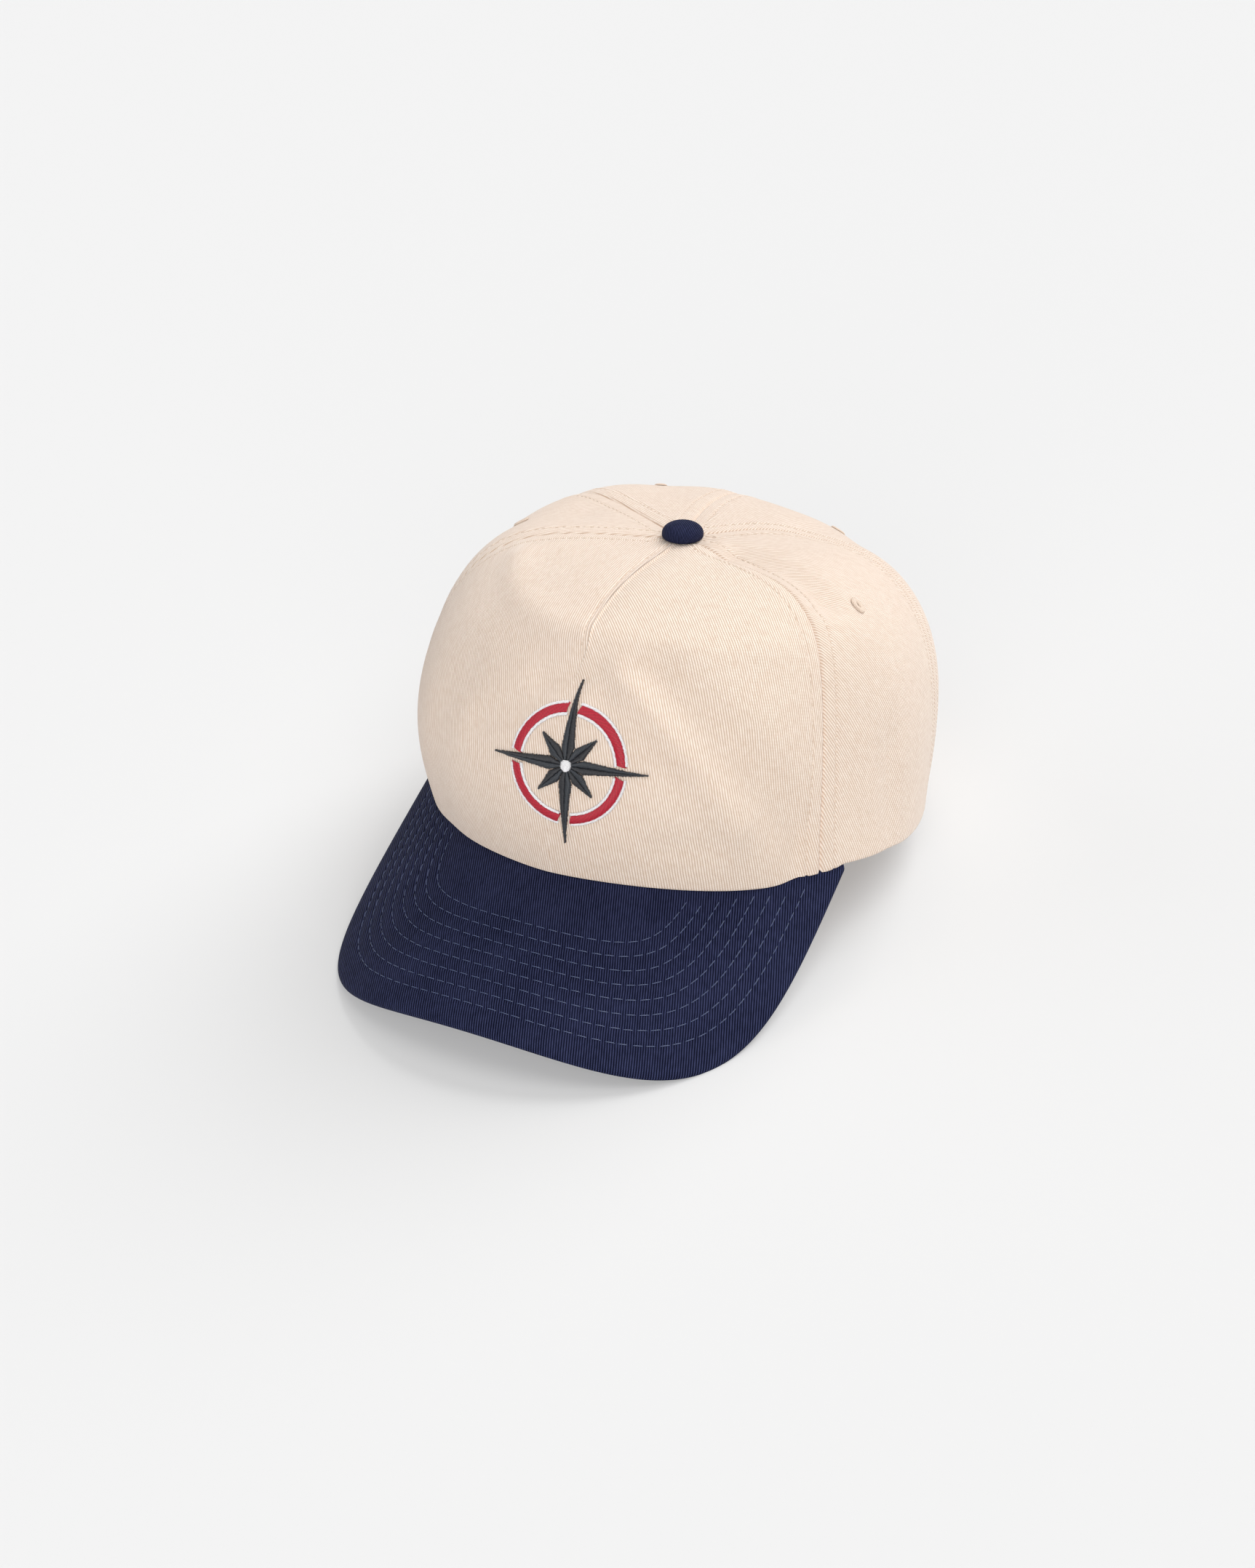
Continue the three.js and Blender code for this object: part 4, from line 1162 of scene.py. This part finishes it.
def brim_row(inset):
    """A row at an inset: the outline moved in square to itself, kept where it is
    truly that far from the edge and clear of the crown."""
    dense = even_edge(1600)
    ahead = unit(np.gradient(dense, axis=0))
    inward = np.stack([-ahead[:, 1], ahead[:, 0]], axis=-1)
    moved = dense + inward * inset
    turn = np.degrees(np.arctan2(moved[:, 0], -moved[:, 1]))
    clear = np.hypot(moved[:, 0], moved[:, 1]) > hem_reach(turn) + 0.4
    return moved[clear & (edge_distance(moved) > inset - 0.12)]


brim_rows = []
for number, inset in enumerate(row_insets):
    row = brim_row(inset)
    for depth, flip in ((0.26, 1), (brim_thick - 0.2, -1)):
        path, face = brim_point(row, np.full(len(row), depth))
        brim_rows.append(stitch_row(path, face * flip, 50 + number * 2 + flip,
                                    brim_pitch, brim_visible, brim_thread))
brim_stitches = new_piece("brim_stitches", *joined(brim_rows), navy_thread, "navy_thread")

# %% [markdown]
# ## Button
# A tin dome wrapped in navy twill. The cloth is drawn in under the rim, which
# gathers it in fine folds. A turned profile with a little ripple near the rim
# gives the shape, and the twill runs straight across it.
# %% Turn the button
button_radius, button_height, button_base = 7.6, 6.0, crown_height + clearance


def make_button():
    """Rings of a dome: reach is a power of the cosine, height a sine, with a small
    ripple of gathers near the rim, closed below by the shank."""
    around = np.linspace(0, 2 * math.pi, 121)[:-1]
    angle = np.linspace(90, 0, 36) * degree
    edge = button_height * 0.3
    reach = np.concatenate([button_radius * np.cos(angle) ** 0.8,
                            [7.5, 7.2, 6.7, shank_radius, shank_radius]])
    height = np.concatenate([edge + (button_height - edge) * np.sin(angle),
                             [0.9, 0.35, 0.05, 0.0, -3.4]])
    reach[0] = 0.02
    length = np.concatenate([[0], np.cumsum(np.hypot(np.diff(reach), np.diff(height)))])
    gathers = np.cos(26 * around + np.sin(3 * around))
    ripple = 0.10 * np.exp(-((height - 1.0) / 1.1) ** 2)[:, None] * gathers
    ripple[-2:] = 0
    ring = reach[:, None] + ripple
    x, y = ring * np.sin(around), -ring * np.cos(around)
    z = height[:, None] + 0 * around
    points = np.stack([x + crown_top_left, y - crown_top_forward, z + button_base], axis=-1)
    index = np.arange(points.shape[0] * points.shape[1]).reshape(points.shape[:2])
    loop = np.concatenate([index, index[:, :1]], axis=1)
    flat = length[:, None] * np.stack([np.sin(around), -np.cos(around)])[:, None]
    across, along = leaned(flat[0], flat[1], 15 * degree)
    cloth = np.stack([across, along], axis=-1).reshape(-1, 2) * 1.4 / map_mm
    faces = [grid_faces(loop)[:, ::-1], index[:1], index[-1:, ::-1]]
    return new_piece("button_cloth", points.reshape(-1, 3), faces, cloth, navy_twill, "navy_twill",
                     ["top_button"])


button_piece = make_button()

# %% [markdown]
# ## Eyelets
# Each side and back panel has a small sewn eyelet that lets air through. Thread
# is wound over the edge of the hole, side by side, all round. Each turn of
# thread is a tube bent over in a half ring, on a short barrel through the cloth.
# %% Wind the eyelets


def frame_on(turn, up):
    """Middle, aside, upward and outward directions of a place on the crown."""
    turn, up = np.array(turn), np.array(up)
    middle, normal = crown_point(turn, up), crown_normal(turn, up)
    aside = unit(np.cross((0, 0, 1), normal))
    return middle, aside, np.cross(normal, aside), normal


def make_eyelet(index):
    """Threads over a ring: each follows half an ellipse from the slit's edge up
    and out to the cloth. The ring is a little narrow, as a pulled one is."""
    middle, aside, upward, normal = frame_on(*eyelet_turn(index))
    count = 38
    around = np.arange(count) * 2 * math.pi / count
    arc = np.linspace(-0.15, math.pi + 0.15, 8)
    inner, outer = np.array([0.42, 1.25]), np.array([2.3, 3.2])
    way = np.stack([np.cos(around), np.sin(around)], axis=-1)
    flat = way[None] * ((inner + outer) / 2 + (outer - inner) / 2 * np.cos(arc)[:, None, None])
    height = 0.1 + 0.5 * np.sin(arc)
    lay = lambda a, b, h: (middle + a[..., None] * aside + b[..., None] * upward
                           + h[..., None] * normal)
    centres = lay(flat[..., 0].T, flat[..., 1].T, np.tile(height, (count, 1)))
    core = lay(np.tile(way[:, 0, None] * (inner[0] + outer[0]) / 2, 8),
               np.tile(way[:, 1, None] * (inner[1] + outer[1]) / 2, 8), np.full((count, 8), -0.3))
    parts = [tubes(centres, unit(centres - core), 0.23, 0.2)]
    depth = np.array([0.35, 0.0, -1.0, -1.75, -1.9])
    spread = np.array([1.0, 1.15, 1.2, 1.25, 2.2])
    barrel_way = np.concatenate([way, way[:1]])
    a = barrel_way[:, 0] * inner[0] * spread[:, None]
    b = barrel_way[:, 1] * inner[1] * spread[:, None]
    inside = lay(a, b, np.tile(depth[:, None], count + 1))
    outside = lay(a * 1.5, b * 1.3, np.tile(depth[:, None], count + 1) - 0.02)
    sheet = np.concatenate([inside, outside[::-1]])
    numbers = np.arange(sheet.shape[0] * count).reshape(sheet.shape[0], count)
    loop = np.concatenate([numbers, numbers[:, :1]], axis=1)
    loop = np.concatenate([loop, loop[:1]])
    places = np.zeros((numbers.size, 2))
    parts.append((sheet[:, :-1].reshape(-1, 3), [grid_faces(loop)], places))
    names = {1: "left_side", 2: "left_back", 3: "right_back", 4: "right_side"}
    return new_piece(f"eyelet_threads_{names[index]}", *joined(parts), cream_thread,
                     "cream_thread", [f"eyelet_{names[index]}"])


eyelet_pieces = [make_eyelet(index) for index in (1, 2, 3, 4)]

# %% [markdown]
# ## Back band
# A plain band of the same twill bridges the arch at the back. It is a folded
# strip, so its edges are round, and a row of stitches holds it along each edge.
# %% Make the back band
strap_height, strap_thick, strap_tab, strap_row_inset = 19.0, 1.8, 13.0, 3.2
strap_spread = (math.degrees(math.asin(arch_half_width / crown_back_reach))
                + math.degrees(strap_tab / crown_back_reach))


def strap_place(share_across, height):
    turn = 180 + strap_spread * (2 * share_across - 1)
    closing = (1 - (height / crown_height) ** section_value("top", turn)) ** (
        1 / section_value("side", turn))
    return turn, np.arccos(closing) * 2 / math.pi


def make_strap():
    """Outer and inner faces inside the back panels, meeting in a half round along
    the upper and lower edges."""
    near = np.array([0, .08, .22, .42, .7, 1.0])
    height = np.concatenate([near, np.linspace(1.6, strap_height - 1.6, 24),
                             strap_height - near[::-1]])
    across, height = np.meshgrid(np.linspace(0, 1, 110), height)
    turn, up = strap_place(across, height)
    edge = np.minimum(height, strap_height - height)
    rounding = edge_rounding(edge, strap_thick)
    sewn = 0.22 * np.exp(-(((edge - strap_row_inset) / 0.7) ** 2))
    gap = cloth_thick + clearance
    outer = crown_point(turn, up, gap + rounding + sewn, 0.0)
    inner = crown_point(turn, up, gap + strap_thick - rounding, 0.0)
    rows, columns = turn.shape
    out_index = np.arange(rows * columns).reshape(rows, columns)
    in_index = out_index + rows * columns
    in_index[0], in_index[-1] = out_index[0], out_index[-1]
    faces = [grid_faces(out_index), grid_faces(in_index)[:, ::-1],
             wall(in_index[1:-1, 0], out_index[1:-1, 0])[:, ::-1],
             wall(out_index[1:-1, -1], in_index[1:-1, -1])[:, ::-1]]
    for column, flip in ((0, 1), (-1, -1)):
        for row, beside in ((0, 1), (-1, -2)):
            tip = [out_index[row, column], out_index[beside, column], in_index[beside, column]]
            faces.append(np.array([tip[::flip if row == 0 else -flip]]))
    arc = (turn - 180) * degree * crown_back_reach
    across = height * math.cos(0.5) + arc * math.sin(0.5)
    cloth = np.stack([across, arc], axis=-1).reshape(-1, 2) / map_mm
    points = np.concatenate([outer.reshape(-1, 3), inner.reshape(-1, 3)])
    return new_piece("back_band_cloth", points, faces, np.concatenate([cloth, cloth]), cream_twill,
                     "cream_twill", ["back_strap"])


strap_piece = make_strap()
strap_rows = []
for height in (strap_row_inset, strap_height - strap_row_inset):
    turns, ups = strap_place(np.linspace(0.02, 0.98, 300), np.full(300, height))
    strap_rows.append(stitch_row(crown_point(turns, ups, cloth_thick + clearance + 0.2, 0.0),
                                 crown_normal(turns, ups), seed=int(height)))
strap_stitches = new_piece("back_band_stitches", *joined(strap_rows), cream_thread, "cream_thread")

# %% [markdown]
# ## Embroidery
# The front carries an eight-pointed star in a ring, in satin stitch: threads
# laid side by side, each from one edge of a shape to the other, with uneven
# ends. Every half of a point is its own field of threads, so light catches the
# two halves differently. The design is drawn flat and laid on the cloth.
# %% Lay a flat design on the cloth
star_turn, star_up = 5.0, 0.197
star_long, star_short, star_valley = 29.0, 14.5, 6.2
ring_radius, ring_width = 19.5, 3.4
star_middle, star_aside, star_upward, star_normal = frame_on(star_turn, star_up)


def on_front(a, b, lift):
    """The place whose distance from the star's middle is a aside and b up,
    measured square to the cloth there: Newton's steps on turn and up."""
    turn, up = np.full_like(a, star_turn), np.full_like(a, star_up)

    def miss(turn, up):
        way = crown_point(turn, up) - star_middle
        return way @ star_aside - a, way @ star_upward - b

    for _ in range(9):
        miss_a, miss_b = miss(turn, up)
        turned, raised = miss(turn + 0.5, up), miss(turn, up + 0.005)
        a_turn, b_turn = (turned[0] - miss_a) / 0.5, (turned[1] - miss_b) / 0.5
        a_up, b_up = (raised[0] - miss_a) / 0.005, (raised[1] - miss_b) / 0.005
        scale = a_turn * b_up - a_up * b_turn
        turn = turn - (miss_a * b_up - miss_b * a_up) / scale
        up = np.maximum(0.005, up - (miss_b * a_turn - miss_a * b_turn) / scale)
    normal = crown_normal(turn, up)
    return crown_point(turn, up) + normal * lift[..., None], normal


satin_steps = np.linspace(0, 1, 7)


def satin(starts, ends, thick=0.46, high=0.75, low=0.05, seed=3, jag=0.22):
    """Threads from starts to ends on the flat, lifted in a low arch, with ends
    that overshoot by a chance amount."""
    chance = np.random.default_rng(seed)
    way = unit(ends - starts)
    starts = starts - way * chance.uniform(-0.1, jag, (len(starts), 1))
    ends = ends + way * chance.uniform(-0.1, jag, (len(ends), 1))
    flat = starts[:, None] + (ends - starts)[:, None] * satin_steps[None, :, None]
    arch = np.sin(math.pi * satin_steps) ** 0.55
    lift = low + (high - low) * arch[None, :] * chance.uniform(0.92, 1.05, (len(starts), 1))
    centres, upward = on_front(flat[..., 0], flat[..., 1], lift)
    taper = np.array([.6, .95, 1, 1, 1, .95, .6])
    return tubes(centres, upward, thick / 2 * taper, thick / 2 * 0.85)


print("threads are laid", len(satin_steps), "rings long")

# %% Fields of threads for the star and the ring


def turned(points, angle):
    """Flat points turned clockwise by an angle in degrees from straight up."""
    a, b = points[..., 0], points[..., 1]
    cos, sin = math.cos(angle * degree), math.sin(angle * degree)
    return np.stack([a * cos + b * sin, -a * sin + b * cos], axis=-1)


def half_width(place, tip):
    """Half the width of a point at a place along it: it opens to the valley and
    then narrows to the tip."""
    valley = star_valley * math.cos(22.5 * degree)
    wide = star_valley * math.sin(22.5 * degree)
    return np.minimum(place * math.tan(22.5 * degree), wide * (tip - place) / (tip - valley))


def point_field(angle, tip, side, first, last, slant=0.5, spacing=0.37):
    """Threads across one half of a point, from its middle line to its edge, set a
    little forward as they go out."""
    place = np.arange(first, last, spacing)
    width = half_width(place, tip)
    starts = np.stack([np.zeros_like(place), place - slant * 0.5 * width], axis=-1)
    ends = np.stack([side * width, place + slant * 0.5 * width], axis=-1)
    return turned(starts, angle), turned(ends, angle)


def embroider(name, fields, material, slot, nodes=(), seed=1, **style):
    starts = np.concatenate([start for start, _ in fields])
    ends = np.concatenate([end for _, end in fields])
    return new_piece(name, *satin(starts, ends, seed=seed, **style), material, slot, nodes)


long_angles, short_angles = (0, 90, 180, 270), (45, 135, 225, 315)
dark = [point_field(angle, star_long, 1, 0.6, 28.4) for angle in long_angles]
dark += [point_field(angle, star_short, 1, 0.6, 14.1) for angle in short_angles]
grey = [point_field(angle, star_long, -1, 0.6, 28.4) for angle in long_angles]
grey += [point_field(angle, star_short, -1, 0.6, 14.1) for angle in short_angles]
embroider("star_dark_threads", dark, charcoal_thread, "charcoal_thread", ["emblem_star"], 4)
embroider("star_grey_threads", grey, grey_thread, "grey_thread", (), 5)

# %% Sew the ring and the boss
arc_names = ["upper_left", "lower_left", "lower_right", "upper_right"]
ring_inner, ring_outer = ring_radius - ring_width / 2, ring_radius + ring_width / 2
point_half = float(half_width(np.array(ring_inner), star_long))
ring_stop = math.asin((point_half + 3 * clearance) / ring_inner)


def ring_field(quarter, inner, outer, spacing=0.36, slant=0.03):
    """Threads across the ring over one quarter."""
    start, end = quarter * math.pi / 2 + ring_stop, (quarter + 1) * math.pi / 2 - ring_stop
    angle = np.arange(start, end, spacing / ring_radius)
    spoke = lambda reach, turn: np.stack([reach * np.sin(turn), reach * np.cos(turn)], axis=-1)
    return spoke(inner, angle - slant), spoke(outer, angle + slant)


for quarter, name in enumerate(arc_names):
    embroider(f"ring_threads_{name}", [ring_field(quarter, ring_inner, ring_outer)],
              red_thread, "red_thread", [f"emblem_arc_{name}"], 20 + quarter, jag=0.16)
edge_fields = [ring_field(quarter, reach - 0.3, reach + 0.55, slant=0.005)
               for quarter in range(4) for reach in (ring_inner - 0.35, ring_outer)]
embroider("ring_edge_threads", edge_fields, white_thread, "white_thread", (), 30,
          high=0.6, jag=0.12)
boss = np.arange(-1.9, 1.91, 0.36)
boss_half = np.sqrt(np.maximum(2.0**2 - boss**2, 0.05))
boss_fields = [(np.stack([-boss_half, boss], axis=-1), np.stack([boss_half, boss], axis=-1))]
embroider("star_boss_threads", boss_fields, white_thread, "white_thread", (), 31,
          high=1.25, low=0.7)

# %% [markdown]
# ## Finish
# The box of the visual model is printed, as the CAD box was at the start.
# %% Print the sizes and finish
look_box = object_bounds()
({"cad": [list(corner) for corner in cad_box],
           "visual": [list(corner) for corner in look_box]})
print("visual box, mm:", [[round(v * 1000, 1) for v in corner] for corner in look_box])
